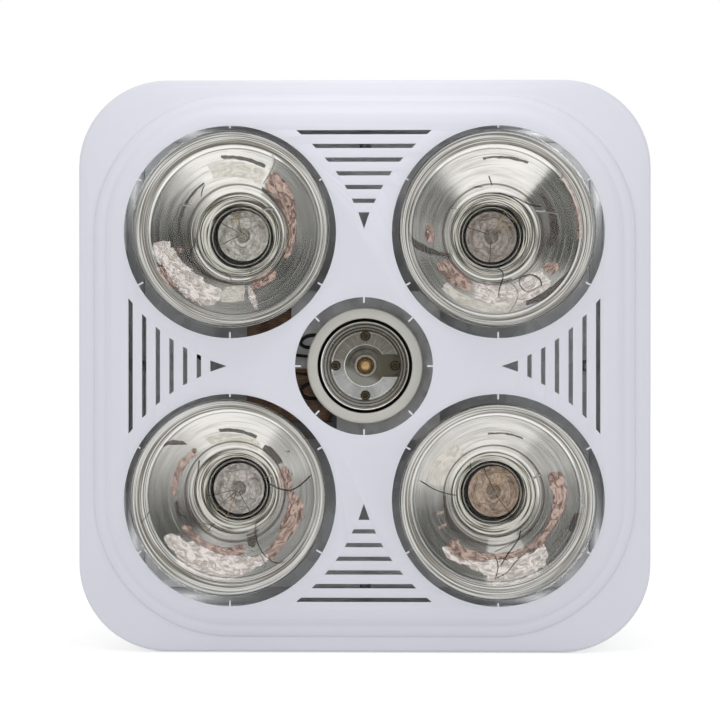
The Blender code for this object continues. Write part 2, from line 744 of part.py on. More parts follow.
def scroll_path():
    """The spiral wall from the cut-off to the outlet, as (x, z) points, open at the top."""
    top = housing_inside - TOUCH
    start = math.radians(SCROLL_START_ANGLE)
    path = [(-OUTLET_HALF_WIDTH, top), (-OUTLET_HALF_WIDTH, SCROLL_START_RADIUS)]
    for index in range(SCROLL_STEPS + 1):
        share = index / SCROLL_STEPS
        angle = start + (math.tau - start) * share
        radius = SCROLL_START_RADIUS + (SCROLL_END_RADIUS - SCROLL_START_RADIUS) * share
        path.append((radius * math.cos(angle), radius * math.sin(angle)))
    for across_share, up_share in SCROLL_SHOULDER_SHARES:
        path.append((SCROLL_END_RADIUS * across_share, SCROLL_END_RADIUS * up_share))
    path += [(OUTLET_HALF_WIDTH, SCROLL_END_RADIUS), (OUTLET_HALF_WIDTH, top)]
    return path


def make_scroll(material):
    """The blower's casing, open at the front and at its outlet."""
    path = scroll_path()
    builder = bmesh.new()
    front = [builder.verts.new((across, scroll_front, up)) for across, up in path]
    back = [builder.verts.new((across, scroll_back, up)) for across, up in path]
    for index in range(len(path) - 1):
        builder.faces.new((front[index], back[index], back[index + 1], front[index + 1]))
    builder.faces.new(back)
    bmesh.ops.recalc_face_normals(builder, faces=builder.faces)
    centre_out = max(builder.faces, key=lambda face: len(face.verts))
    if centre_out.normal.y < 0.0:
        bmesh.ops.reverse_faces(builder, faces=builder.faces)
    mesh = bpy.data.meshes.new("blower_scroll")
    builder.to_mesh(mesh)
    builder.free()
    smooth(mesh)
    scroll = add_mesh("blower_scroll", mesh, material)
    solidify(scroll, SCROLL_WALL)


def blade_shapes():
    """Forward-curved blades between the impeller's front ring and its disc."""
    inner = IMPELLER_RADIUS * IMPELLER_BORE_SHARE
    builder = bmesh.new()
    low = impeller_front + DISC_THICKNESS / 2.0
    high = impeller_back - DISC_THICKNESS / 2.0
    for blade in range(BLADE_COUNT):
        base = math.tau * blade / BLADE_COUNT
        rows = []
        for step in range(BLADE_STEPS + 1):
            share = step / BLADE_STEPS
            radius = inner + LAP + (IMPELLER_RADIUS - inner - 2.0 * LAP) * share
            angle = base + BLADE_LEAN * share * share
            half = BLADE_THICKNESS / 2.0 / radius
            corners = []
            for turn in (angle - half, angle + half):
                for depth in (low, high):
                    corners.append(builder.verts.new((radius * math.cos(turn), depth,
                                                      radius * math.sin(turn))))
            rows.append(corners)
        for row, following in zip(rows, rows[1:]):
            for first, second in ((0, 1), (1, 3), (3, 2), (2, 0)):
                builder.faces.new((row[first], row[second], following[second], following[first]))
        builder.faces.new([rows[0][index] for index in (0, 1, 3, 2)])
        builder.faces.new([rows[-1][index] for index in (0, 1, 3, 2)])
    return add_mesh("impeller blades", mesh_from(builder, "blades"), None, home=tools)


def make_impeller(material):
    """The drum of blades on its hub."""
    inner = IMPELLER_RADIUS * IMPELLER_BORE_SHARE
    bore = SHAFT_RADIUS + TOUCH
    disc_front = impeller_back - DISC_THICKNESS
    impeller = turned("impeller", [
        (IMPELLER_RADIUS, impeller_back), (IMPELLER_RADIUS, disc_front),
        (HUB_RADIUS, disc_front), (HUB_RADIUS, impeller_back - HUB_LENGTH),
        (bore, impeller_back - HUB_LENGTH), (bore, impeller_back)], material)
    ring = turned("impeller front ring", [
        (IMPELLER_RADIUS, impeller_front + DISC_THICKNESS), (IMPELLER_RADIUS, impeller_front),
        (inner, impeller_front), (inner, impeller_front + DISC_THICKNESS)], None, home=tools)
    blades = blade_shapes()
    join(blades, ring)
    join(impeller, blades)


def make_spigot(material):
    """The round duct collar with its flange, pin holes and the seat for the vanes."""
    seat_top = damper_place - VANE_THICKNESS / 2.0 - TOUCH
    profile = [
        (DUCT_RADIUS, spigot_end), (DUCT_RADIUS, spigot_base + SPIGOT_WALL),
        (DUCT_RADIUS + SPIGOT_FLANGE_WIDTH, spigot_base + SPIGOT_WALL),
        (DUCT_RADIUS + SPIGOT_FLANGE_WIDTH, spigot_base), (spigot_bore, spigot_base),
        (spigot_bore, seat_top - SEAT_HEIGHT), (spigot_bore - SEAT_WIDTH, seat_top - SEAT_HEIGHT),
        (spigot_bore - SEAT_WIDTH, seat_top), (spigot_bore, seat_top), (spigot_bore, spigot_end)]
    spigot = turned("duct_spigot", profile, material, steps=26)
    spigot.rotation_euler.x = 0.0
    spigot.location = (0.0, duct_place, 0.0)
    reach = DUCT_RADIUS + OVERRUN
    hole = rod("spigot pin holes", DAMPER_PIN_RADIUS + DAMPER_PIN_CLEARANCE,
               (0.0, duct_place - reach, damper_place),
               (0.0, duct_place + reach, damper_place), None, 12, tools)
    cut(spigot, hole)


def make_vane(name, side, knuckles, material):
    """A half-round vane with knuckles on the damper pin, hung from an empty on its hinge."""
    hinge = bpy.data.objects.new(name + " hinge", None)
    hinge.location = (0.0, duct_place, damper_place)
    unit.objects.link(hinge)
    radius = spigot_bore - VANE_EDGE_GAP
    inner = KNUCKLE_RADIUS + TOUCH
    half = VANE_THICKNESS / 2.0
    start = math.asin(inner / radius)
    arc = circle_points(radius, VANE_STEPS, (0.0, 0.0), start, math.pi - 2.0 * start)
    outline = [(side * along, across) for across, along in arc]
    builder = bmesh.new()
    low = [builder.verts.new((across, along, -half)) for across, along in outline]
    high = [builder.verts.new((across, along, half)) for across, along in outline]
    builder.faces.new(low)
    builder.faces.new(high)
    for index in range(len(outline)):
        after = (index + 1) % len(outline)
        builder.faces.new((low[index], low[after], high[after], high[index]))
    vane = add_mesh(name, mesh_from(builder, name), material)
    vane.parent = hinge
    barrels = bmesh.new()
    webs = bmesh.new()
    for begin, end in knuckles:
        rod_into(barrels, KNUCKLE_RADIUS, (0.0, radius * begin, 0.0), (0.0, radius * end, 0.0), 12)
        reach = sorted((0.0, side * (inner + LAP)))
        box_into(webs, (reach[0], radius * begin, -half + TOUCH / 2.0),
                 (reach[1], radius * end, half - TOUCH / 2.0))
    web = add_mesh(name + " webs", mesh_from(webs, "webs"), None, home=tools)
    barrel = add_mesh(name + " knuckles", mesh_from(barrels, "knuckles"), None, home=tools)
    bore = rod(name + " bore", DAMPER_PIN_RADIUS + DAMPER_PIN_CLEARANCE, (0.0, -radius, 0.0),
               (0.0, radius, 0.0), None, 12, tools)
    for tool in (web, barrel, bore):
        tool.parent = hinge
    join(vane, web)
    join(vane, barrel)
    cut(vane, bore)


def make_damper(metal, plastic):
    """The pin across the spigot and the two vanes on it."""
    rod("damper_pin", DAMPER_PIN_RADIUS, (0.0, duct_place - DUCT_RADIUS, damper_place),
        (0.0, duct_place + DUCT_RADIUS, damper_place), metal, 12)
    make_vane("damper_vane_left", -1, (KNUCKLE_SHARES[0], KNUCKLE_SHARES[2]), plastic)
    make_vane("damper_vane_right", 1, (KNUCKLE_SHARES[1], KNUCKLE_SHARES[3]), plastic)


def strip(name, path, width, material, turn=0.0, centre=(0.0, 0.0)):
    """A bent metal strip: a path of (across, y) points, as wide as told, in bracket sheet."""
    builder = bmesh.new()
    matrix = Matrix.Translation((centre[0], 0.0, centre[1])) @ turn_about_y(turn)
    left = [builder.verts.new(matrix @ Vector((across, depth, -width / 2.0)))
            for across, depth in path]
    right = [builder.verts.new(matrix @ Vector((across, depth, width / 2.0)))
             for across, depth in path]
    for index in range(len(path) - 1):
        builder.faces.new((left[index], right[index], right[index + 1], left[index + 1]))
    mesh = bpy.data.meshes.new(name)
    builder.to_mesh(mesh)
    builder.free()
    piece = add_mesh(name, mesh, material)
    solidify(piece, BRACKET_SHEET, 0.0)
    return piece


def bridge_path(half_span, base_depth, foot_depth):
    """A flat bridge with two legs and outward feet, on the middle of the sheet."""
    half = BRACKET_SHEET / 2.0
    return [(-half_span - BRACKET_FOOT, foot_depth - half), (-half_span, foot_depth - half),
            (-half_span, base_depth + half), (half_span, base_depth + half),
            (half_span, foot_depth - half), (half_span + BRACKET_FOOT, foot_depth - half)]


def make_motor(steel, copper, dark, bronze):
    """Laminations with the coil on one leg, the rotor in the other, and two bearing bridges."""
    height = STACK_HALF_HEIGHT
    outline = [(-STACK_LEFT, -height), (STACK_RIGHT, -height), (STACK_RIGHT, height),
               (-STACK_LEFT, height)]
    window_left = -STACK_LEFT + LEG_WIDTH
    window_right = -STACK_RIGHT
    window_height = height - STACK_BAR
    window = [(window_left, -window_height), (window_right, -window_height),
              (window_right, window_height), (window_left, window_height)]
    bore = circle_points(ROTOR_RADIUS + ROTOR_AIR_GAP, 24)
    flat_solid("motor_stator", outline, stack_front, stack_back, steel, holes=(window, bore))
    leg_middle = -STACK_LEFT + LEG_WIDTH / 2.0
    inner_half = LEG_WIDTH / 2.0 + TOUCH
    outer_half = inner_half + coil_build
    coil_front = stack_front - COIL_OVERHANG
    coil_back = stack_back + COIL_OVERHANG
    coil_half_height = window_height - TOUCH
    coil = box("motor_coil", (leg_middle - outer_half, coil_front, -coil_half_height),
               (leg_middle + outer_half, coil_back, coil_half_height), copper)
    bevel = coil.modifiers.new("rounded corners", "BEVEL")
    bevel.width = COIL_CORNER_RADIUS
    bevel.segments = 3
    bevel.limit_method = "NONE"
    core = box("coil core", (leg_middle - inner_half, stack_front - TOUCH, -height),
               (leg_middle + inner_half, stack_back + TOUCH, height), None, home=tools)
    cut(coil, core)
    shaft_front = CHASSIS_DEPTH - SHAFT_FRONT_REACH
    rod("motor_shaft", SHAFT_RADIUS, (0.0, shaft_front, 0.0), (0.0, impeller_back, 0.0), steel, 16)
    turned("motor_rotor", [
        (ROTOR_RADIUS, stack_back - TOUCH), (ROTOR_RADIUS, stack_front + TOUCH),
        (SHAFT_RADIUS + TOUCH, stack_front + TOUCH), (SHAFT_RADIUS + TOUCH, stack_back - TOUCH)],
        dark, steps=16)
    rear_base = stack_back + TOUCH
    rear = strip("motor_bracket_rear",
                 bridge_path(height + BRACKET_FOOT, rear_base, CHASSIS_DEPTH - TOUCH),
                 BRACKET_WIDTH, steel, 90.0)
    front_base = stack_front - TOUCH - BRACKET_SHEET
    half = BRACKET_SHEET / 2.0
    front = strip("motor_bracket_front", [(-height, front_base + half), (height, front_base + half)],
                  BRACKET_WIDTH, steel, 90.0)
    for name, bracket, base, direction in (("rear", rear, rear_base, 1.0),
                                           ("front", front, front_base + BRACKET_SHEET, -1.0)):
        hole = rod(f"{name} bearing hole", BEARING_RADIUS + TOUCH,
                   (0.0, base - OVERRUN, 0.0), (0.0, base + OVERRUN, 0.0), None, 20, tools)
        cut(bracket, hole)
        ends = sorted((base, base + direction * BEARING_LENGTH))
        turned(f"bearing_{name}", [
            (BEARING_RADIUS, ends[1]), (BEARING_RADIUS, ends[0]),
            (SHAFT_RADIUS + RUNNING_GAP, ends[0]), (SHAFT_RADIUS + RUNNING_GAP, ends[1])],
            bronze, steps=12)


def make_light_holder(porcelain, metal, brass, steel):
    """The centre lampholder: porcelain body, screw shell, insert, contact and four screws."""
    turned("light_holder_body", [
        (HOLDER_BACK_RADIUS, holder_back),
        (HOLDER_BACK_RADIUS, porcelain_front + HOLDER_RIM_HEIGHT),
        (HOLDER_RADIUS, porcelain_front + HOLDER_RIM_HEIGHT - LAP),
        (HOLDER_RADIUS, porcelain_front + LAP), (HOLDER_RADIUS - LAP, porcelain_front),
        (HOLDER_BORE_RADIUS, porcelain_front),
        (HOLDER_BORE_RADIUS, holder_floor), (0.0, holder_floor), (0.0, holder_back)],
        porcelain)
    shell_front = insert_front - TOUCH - SHELL_LENGTH
    profile = [(SHELL_RIM_RADIUS, shell_front), (SHELL_ROOT_RADIUS, shell_front + SHELL_WALL)]
    turns = 2 * SHELL_THREADS
    for index in range(turns + 1):
        radius = SHELL_ROOT_RADIUS if index % 2 else SHELL_CREST_RADIUS
        share = (index + 1) / (turns + 1)
        profile.append((radius, shell_front + SHELL_LENGTH * share))
    turned_shell("light_holder_shell", profile[::-1], SHELL_WALL, metal, steps=18)
    insert = turned("light_holder_insert", [
        (INSERT_RADIUS, holder_floor - TOUCH), (INSERT_RADIUS, insert_front),
        (RECESS_RADIUS, insert_front), (RECESS_RADIUS, insert_floor), (0.0, insert_floor),
        (0.0, holder_floor - TOUCH)], metal)
    notch = box("insert notch", (0.0, insert_front - OVERRUN, -NOTCH_WIDTH / 2.0),
                (INSERT_RADIUS + OVERRUN, insert_floor, NOTCH_WIDTH / 2.0), None, home=tools)
    cut(insert, notch)
    seats = bmesh.new()
    for index in range(4):
        across = INSERT_SCREW_CIRCLE * math.cos(math.tau * index / 4.0)
        up = INSERT_SCREW_CIRCLE * math.sin(math.tau * index / 4.0)
        floor = insert_floor if index == 0 else insert_front
        seat = floor + INSERT_SCREW_HEAD
        rod_into(seats, INSERT_SCREW_RADIUS + INSERT_SCREW_CLEARANCE,
                 (across, floor - OVERRUN, up), (across, seat, up), 14)
        head = rod(f"light_holder_screw_{index + 1}", INSERT_SCREW_RADIUS,
                   (across, floor + TOUCH, up), (across, seat - TOUCH, up), steel, 14)
        slot = box(f"screw slot {index + 1}", (across - INSERT_SCREW_RADIUS - OVERRUN,
                                               floor + TOUCH - OVERRUN, up - SHELL_WALL / 2.0),
                   (across + INSERT_SCREW_RADIUS + OVERRUN, floor + TOUCH + SHELL_WALL,
                    up + SHELL_WALL / 2.0), None, home=tools)
        cut(head, slot)
    cut(insert, add_mesh("insert screw seats", mesh_from(seats, "seats"), None, home=tools))
    top = insert_floor - TOUCH - CONTACT_HEIGHT
    turned("light_centre_contact", [
        (0.0, insert_floor - TOUCH), (CONTACT_RADIUS, insert_floor - TOUCH),
        (CONTACT_RADIUS, top + CONTACT_ROUND),
        (CONTACT_RADIUS * CONTACT_EDGE_SHARE, top + CONTACT_ROUND / 4.0),
        (0.0, top)], brass, steps=20)


def make_light_bracket(steel):
    """The plate that carries the centre lampholder, with two legs down to the chassis plate."""
    half = BRACKET_SHEET / 2.0
    side = LIGHT_BRACKET_WIDTH / 2.0
    level = holder_back + TOUCH + half
    foot = CHASSIS_DEPTH - TOUCH - half
    end = light_bracket_half_span
    plate = light_plate_half
    outline = [(-side, end), (side, end), (side, plate), (plate, plate), (plate, -plate),
               (side, -plate), (side, -end), (-side, -end), (-side, -plate),
               (-LIGHT_PLATE_LEFT, -plate), (-LIGHT_PLATE_LEFT, -LIGHT_PLATE_STEP),
               (-plate, -LIGHT_PLATE_STEP), (-plate, plate), (-side, plate)]
    builder = bmesh.new()
    corners = [builder.verts.new((across, level, up)) for across, up in outline]
    builder.faces.new(corners)
    for one, two, way in ((corners[0], corners[1], 1.0), (corners[6], corners[7], -1.0)):
        ends = [one, two]
        for depth, up in ((foot, end), (foot, end + BRACKET_FOOT)):
            row = [builder.verts.new((vert.co.x, depth, way * up)) for vert in (one, two)]
            builder.faces.new((ends[1], ends[0], row[0], row[1]))
            ends = row
    bmesh.ops.recalc_face_normals(builder, faces=builder.faces)
    mesh = bpy.data.meshes.new("light_bracket")
    builder.to_mesh(mesh)
    builder.free()
    solidify(add_mesh("light_bracket", mesh, steel), BRACKET_SHEET, 0.0)


def bulb_profile():
    """The glass's outer side from its neck to the middle of its face, then its inner side."""
    slope = math.asin((LAMP_RADIUS - SHOULDER_RADIUS) / (DOME_RADIUS - SHOULDER_RADIUS))
    centre_rise = (DOME_RADIUS - SHOULDER_RADIUS) * math.cos(slope)
    apex = lamp_widest + centre_rise - DOME_RADIUS
    neck_end = apex + LAMP_LENGTH - LAMP_CAP_LENGTH
    profile = [(0.0, apex)]
    for share in DOME_TURN_SHARES:
        angle = slope * share
        profile.append((DOME_RADIUS * math.sin(angle), apex + DOME_RADIUS * (1.0 - math.cos(angle))))
    for share in SHOULDER_TURN_SHARES:
        angle = slope + (math.pi / 2.0 - slope) * share
        profile.append((LAMP_RADIUS - SHOULDER_RADIUS + SHOULDER_RADIUS * math.sin(angle),
                        lamp_widest - SHOULDER_RADIUS * math.cos(angle)))
    for depth_share, radius_share in BOWL_SHARES:
        profile.append((LAMP_RADIUS * radius_share,
                        lamp_widest + (neck_end - lamp_widest) * depth_share))
    outer = profile[::-1]
    bowl = [(radius - GLASS_THICKNESS, depth) for radius, depth in outer[:len(BOWL_SHARES):2]]
    return outer + [(0.0, apex + GLASS_THICKNESS)] + [
        (LAMP_RADIUS - SHOULDER_RADIUS, lamp_widest - SHOULDER_RADIUS + GLASS_THICKNESS),
        (LAMP_RADIUS - GLASS_THICKNESS, lamp_widest)] + bowl[::-1]


def make_lamps(glass, silver, mount_glass, porcelain, steel):
    """Four heat lamps, each with its cap, stem, porcelain holder and yoke."""
    profile = bulb_profile()
    neck_end = profile[0][1]
    cap_front = neck_end + TOUCH
    cap_end = cap_front + LAMP_CAP_LENGTH
    holder_front = cap_front + TOUCH
    holder_floor_depth = cap_end + TOUCH
    holder_end = holder_floor_depth + PORCELAIN_WALL_BACK
    bore = LAMP_CAP_RADIUS + TOUCH
    for number in LAMP_SIDES:
        centre = lamp_centre(number)
        turned(f"heat_lamp_{number}_bulb", profile, glass, centre, 24)
        turned(f"heat_lamp_{number}_cap", [
            (0.0, cap_end), (CAP_CONTACT_RADIUS, cap_end),
            (LAMP_CAP_RADIUS, cap_end - CAP_TAPER_LENGTH), (LAMP_CAP_RADIUS, cap_front),
            (0.0, cap_front)], silver, centre, 20)
        turned(f"heat_lamp_{number}_stem", [
            (0.0, neck_end), (STEM_RADIUS, neck_end), (STEM_TIP_RADIUS, neck_end - STEM_LENGTH / 2.0),
            (STEM_TIP_RADIUS, neck_end - STEM_LENGTH), (0.0, neck_end - STEM_LENGTH)],
            mount_glass, centre, 10)
        turned(f"heat_lamp_{number}_holder", [
            (PORCELAIN_RADIUS, holder_end), (PORCELAIN_RADIUS, holder_front + PORCELAIN_RIM),
            (PORCELAIN_RADIUS - PORCELAIN_RIM, holder_front), (bore, holder_front),
            (bore, holder_floor_depth), (0.0, holder_floor_depth), (0.0, holder_end)],
            porcelain, centre, 16)
        side, up = LAMP_SIDES[number]
        yoke_base = holder_end + TOUCH
        half = BRACKET_SHEET / 2.0
        foot = CHASSIS_DEPTH + SHEET + TOUCH + half
        path = [(-YOKE_HALF_SPAN - BRACKET_FOOT, foot), (-YOKE_HALF_SPAN, foot),
                (-YOKE_HALF_SPAN, yoke_base + half), (YOKE_HALF_SPAN, yoke_base + half),
                (YOKE_HALF_SPAN, foot), (YOKE_HALF_SPAN + BRACKET_FOOT, foot)]
        strip(f"heat_lamp_{number}_yoke", path, YOKE_WIDTH, steel, 45.0 * side * up, centre)


def make_wiring_entry(plastic, steel, ceramic):
    """The terminal block under its cover on the left wall, the gland and the heat cut-out."""
    middle = cover_middle
    wall = -(housing_half + TOUCH)
    block = box("terminal_block", (wall - TERMINAL_HEIGHT, middle - TERMINAL_DEPTH / 2.0,
                                   -TERMINAL_LENGTH / 2.0),
                (wall, middle + TERMINAL_DEPTH / 2.0, TERMINAL_LENGTH / 2.0), ceramic)
    wells = bmesh.new()
    for index in range(TERMINAL_WAYS):
        up = TERMINAL_LENGTH * ((index + 0.5) / TERMINAL_WAYS - 0.5)
        for place in (-TERMINAL_DEPTH / 4.0, TERMINAL_DEPTH / 4.0):
            rod_into(wells, TERMINAL_WELL_RADIUS,
                     (wall - TERMINAL_HEIGHT - OVERRUN, middle + place, up),
                     (wall - TERMINAL_HEIGHT / 2.0, middle + place, up), 8)
    cut(block, add_mesh("terminal wells", mesh_from(wells, "wells"), None, home=tools))
    cover = box("terminal_cover", (wall - COVER_HEIGHT, middle - COVER_DEPTH / 2.0,
                                   -COVER_LENGTH / 2.0),
                (wall, middle + COVER_DEPTH / 2.0, COVER_LENGTH / 2.0), steel)
    inside = box("cover inside", (wall - COVER_HEIGHT + SHEET, middle - COVER_DEPTH / 2.0 + SHEET,
                                  -COVER_LENGTH / 2.0 + SHEET),
                 (wall + OVERRUN, middle + COVER_DEPTH / 2.0 - SHEET,
                  COVER_LENGTH / 2.0 - SHEET), None, home=tools)
    cut(cover, inside)
    gland_across = wall - COVER_HEIGHT / 2.0
    bottom = -COVER_LENGTH / 2.0
    entry = rod("cover gland hole", GLAND_RADIUS + TOUCH,
                (gland_across, middle, bottom - OVERRUN), (gland_across, middle, bottom + OVERRUN),
                None, 20, tools)
    cut(cover, entry)
    gland = turned("cable_gland", [
        (GLAND_RADIUS, bottom + GLAND_NECK_LENGTH), (GLAND_RADIUS, bottom - TOUCH),
        (GLAND_COLLAR_RADIUS, bottom - TOUCH),
        (GLAND_COLLAR_RADIUS, bottom - GLAND_COLLAR_LENGTH * GLAND_NUT_SHARE),
        (GLAND_RADIUS, bottom - GLAND_COLLAR_LENGTH), (GLAND_BORE_RADIUS, bottom - GLAND_COLLAR_LENGTH),
        (GLAND_BORE_RADIUS, bottom + GLAND_NECK_LENGTH)], plastic, steps=14)
    gland.rotation_euler.x = 0.0
    gland.location = (gland_across, middle, 0.0)
    rod("thermal_cutout", CUTOUT_RADIUS, (CUTOUT_PLACE, CHASSIS_DEPTH - TOUCH - CUTOUT_LENGTH, 0.0),
        (CUTOUT_PLACE, CHASSIS_DEPTH - TOUCH, 0.0), plastic, 16)


def smooth_route(points, step):
    """Evenly spaced points on a smooth curve through the points of a route."""
    ends = [points[0] * 2.0 - points[1], *points, points[-1] * 2.0 - points[-2]]
    fine = []
    for before, start, end, after in zip(ends, ends[1:], ends[2:], ends[3:]):
        for index in range(16):
            t = index / 16
            fine.append(0.5 * (2.0 * start + (end - before) * t
                               + (2.0 * before - 5.0 * start + 4.0 * end - after) * t ** 2
                               + (3.0 * start - before - 3.0 * end + after) * t ** 3))
    fine.append(points[-1].copy())
    total = sum((b - a).length for a, b in zip(fine, fine[1:]))
    count = max(2, round(total / step))
    route = [fine[0]]
    travelled = 0.0
    for a, b in zip(fine, fine[1:]):
        travelled += (b - a).length
        if travelled >= len(route) * total / count and len(route) < count:
            route.append(b)
    route.append(fine[-1])
    return route, total


def lead_points(side):
    """A lead from the lampholder over the coil, through the chassis and the wall, to its well."""
    exit_depth = holder_back - LEAD_EXIT_SETBACK
    over_coil = stack_front - COIL_OVERHANG - LEAD_COIL_CLEARANCE
    pair = side * LEAD_PAIR_SPREAD
    wall = -(housing_half + TOUCH)
    well_up = side * TERMINAL_LENGTH / TERMINAL_WAYS / 2.0
    well_depth = cover_middle - TERMINAL_DEPTH / 4.0
    face = wall - TERMINAL_HEIGHT
    return [
        Vector((-(HOLDER_BACK_RADIUS + TOUCH), exit_depth, side * LEAD_EXIT_SPREAD)),
        Vector((-(HOLDER_BACK_RADIUS + LEAD_STRAIGHT), exit_depth, side * LEAD_EXIT_SPREAD)),
        Vector((-(STACK_LEFT + coil_build / 2.0), over_coil,
                GROMMET_UP / 2.0 + side * LEAD_EXIT_SPREAD)),
        Vector((-(STACK_LEFT + coil_build + LEAD_SIDE_CLEARANCE), stack_front,
                GROMMET_UP + side * LEAD_EXIT_SPREAD)),
        Vector((-GROMMET_ACROSS, CHASSIS_DEPTH - LEAD_STRAIGHT, GROMMET_UP + pair)),
        Vector((-GROMMET_ACROSS, CHASSIS_DEPTH + SHEET + LEAD_STRAIGHT, GROMMET_UP + pair)),
        Vector((-(housing_inside - 2.0 * LEAD_STRAIGHT), entry_depth, pair)),
        Vector((-(housing_inside - LEAD_STRAIGHT / 2.0), entry_depth, pair)),
        Vector((wall - LEAD_STRAIGHT / 2.0, entry_depth, pair)),
        Vector((face - LEAD_STRAIGHT, (entry_depth + well_depth) / 2.0, well_up)),
        Vector((face - LEAD_STRAIGHT / 2.0, well_depth, well_up)),
        Vector((face, well_depth, well_up)),
        Vector((wall - TERMINAL_HEIGHT / 2.0 - TOUCH, well_depth, well_up))]


def make_leads(brown, black, rubber):
    """The lampholder's two leads and the grommet that they pass through."""
    lip_front = CHASSIS_DEPTH - TOUCH
    lip_back = CHASSIS_DEPTH + SHEET + TOUCH
    turned("chassis_grommet", [
        (GROMMET_RADIUS + GROMMET_LIP, lip_back + GROMMET_LIP),
        (GROMMET_RADIUS + GROMMET_LIP, lip_back), (GROMMET_RADIUS, lip_back),
        (GROMMET_RADIUS, lip_front), (GROMMET_RADIUS + GROMMET_LIP, lip_front),
        (GROMMET_RADIUS + GROMMET_LIP, lip_front - GROMMET_LIP),
        (GROMMET_BORE_RADIUS, lip_front - GROMMET_LIP),
        (GROMMET_BORE_RADIUS, lip_back + GROMMET_LIP)],
        rubber, (-GROMMET_ACROSS, GROMMET_UP), 12)
    for name, side, material in (("light_lead_live", -1.0, brown),
                                 ("light_lead_neutral", 1.0, black)):
        route, length = smooth_route(lead_points(side), LEAD_STEP)
        print(f"{name}: {length * 1000.0:.0f} mm long, {len(route)} points")
        wire(name, route, LEAD_RADIUS, material)


def build_unit():
    """Make every piece of the unit."""
    clear_scene()
    white = make_material("gloss white plastic", (0.86, 0.86, 0.90), 0.18)
    galvanised = make_material("galvanised sheet", (0.52, 0.54, 0.55), 0.42, 1.0)
    bright = make_material("bright plated steel", (0.72, 0.72, 0.70), 0.25, 1.0)
    laminated = make_material("electrical steel", (0.30, 0.31, 0.33), 0.5, 0.9)
    winding = make_material("varnished winding", (0.36, 0.17, 0.08), 0.4, 0.3)
    spring_steel = make_material("spring steel", (0.25, 0.25, 0.26), 0.35, 1.0)
    porcelain = make_material("cream porcelain", (0.70, 0.68, 0.60), 0.3)
    brass = make_material("brass", (0.68, 0.50, 0.25), 0.3, 1.0)
    bronze = make_material("oiled bronze", (0.50, 0.36, 0.20), 0.4, 1.0)
    mirror_glass = make_material("silvered glass", (0.70, 0.69, 0.65), 0.08, 0.9)
    clear_glass = make_material("clear glass", (0.80, 0.82, 0.80), 0.05)
    black = make_material("black plastic", (0.03, 0.03, 0.035), 0.45)
    grey = make_material("grey plastic", (0.62, 0.63, 0.65), 0.4)
    brown = make_material("brown sleeving", (0.09, 0.04, 0.025), 0.5)
    sleeving = make_material("black sleeving", (0.03, 0.03, 0.03), 0.5)
    make_panel(white)
    make_springs(spring_steel)
    make_housing(galvanised)
    make_chassis(galvanised)
    make_scroll(galvanised)
    make_impeller(grey)
    make_spigot(grey)
    make_damper(bright, grey)
    make_motor(laminated, winding, spring_steel, bronze)
    make_light_holder(porcelain, bright, brass, laminated)
    make_light_bracket(galvanised)
    make_lamps(mirror_glass, bright, clear_glass, porcelain, galvanised)
    make_wiring_entry(black, galvanised, porcelain)
    make_leads(brown, sleeving, black)


build_unit()
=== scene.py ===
from math import asin, cos, hypot, pi, radians, sin, sqrt, tau

import bmesh
import bpy
from mathutils import Matrix, Vector


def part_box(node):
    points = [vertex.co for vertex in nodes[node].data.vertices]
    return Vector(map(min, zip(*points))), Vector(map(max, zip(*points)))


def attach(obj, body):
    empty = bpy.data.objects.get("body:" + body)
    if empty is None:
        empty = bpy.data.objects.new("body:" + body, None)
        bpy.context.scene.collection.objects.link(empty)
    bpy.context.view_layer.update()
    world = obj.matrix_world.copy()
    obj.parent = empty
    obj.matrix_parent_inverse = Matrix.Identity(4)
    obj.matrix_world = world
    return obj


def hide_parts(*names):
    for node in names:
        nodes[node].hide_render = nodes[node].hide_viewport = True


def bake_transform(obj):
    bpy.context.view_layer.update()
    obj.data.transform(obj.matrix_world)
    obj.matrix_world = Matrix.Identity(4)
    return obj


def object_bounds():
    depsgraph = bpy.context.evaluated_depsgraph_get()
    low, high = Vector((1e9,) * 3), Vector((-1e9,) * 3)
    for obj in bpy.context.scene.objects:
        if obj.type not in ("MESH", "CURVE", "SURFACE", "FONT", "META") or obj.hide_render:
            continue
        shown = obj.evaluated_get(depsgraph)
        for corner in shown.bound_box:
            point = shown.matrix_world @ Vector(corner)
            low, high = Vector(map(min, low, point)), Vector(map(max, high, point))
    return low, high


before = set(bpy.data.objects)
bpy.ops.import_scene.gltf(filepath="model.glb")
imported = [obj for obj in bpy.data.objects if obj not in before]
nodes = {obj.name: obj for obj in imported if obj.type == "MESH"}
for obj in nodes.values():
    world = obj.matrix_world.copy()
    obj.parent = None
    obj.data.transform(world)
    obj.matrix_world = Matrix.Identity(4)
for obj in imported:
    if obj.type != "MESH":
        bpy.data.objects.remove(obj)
cadLow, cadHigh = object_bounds()
print("frame loaded:", len(nodes), "nodes")


# small tools for meshes

def meshFrom(builder, name, outward=False):
    if outward:
        bmesh.ops.recalc_face_normals(builder, faces=builder.faces)
    mesh = bpy.data.meshes.new(name)
    builder.to_mesh(mesh)
    builder.free()
    return mesh


def finishMesh(builder, name, sharpAngle=35.0):
    bmesh.ops.remove_doubles(builder, verts=builder.verts, dist=0.000002)
    mesh = meshFrom(builder, name, True)
    mesh.shade_smooth()
    mesh.set_sharp_from_angle(angle=radians(sharpAngle))
    return mesh


def added(name, data):
    made = bpy.data.objects.new(name, data)
    bpy.context.scene.collection.objects.link(made)
    return made


def place(name, mesh, material, body="housing_body", at=(0.0, 0.0, 0.0), stands=()):
    piece = added(name, mesh)
    piece.location = at
    mesh.materials.append(material)
    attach(piece, body)
    if stands:
        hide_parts(*stands)
    return piece


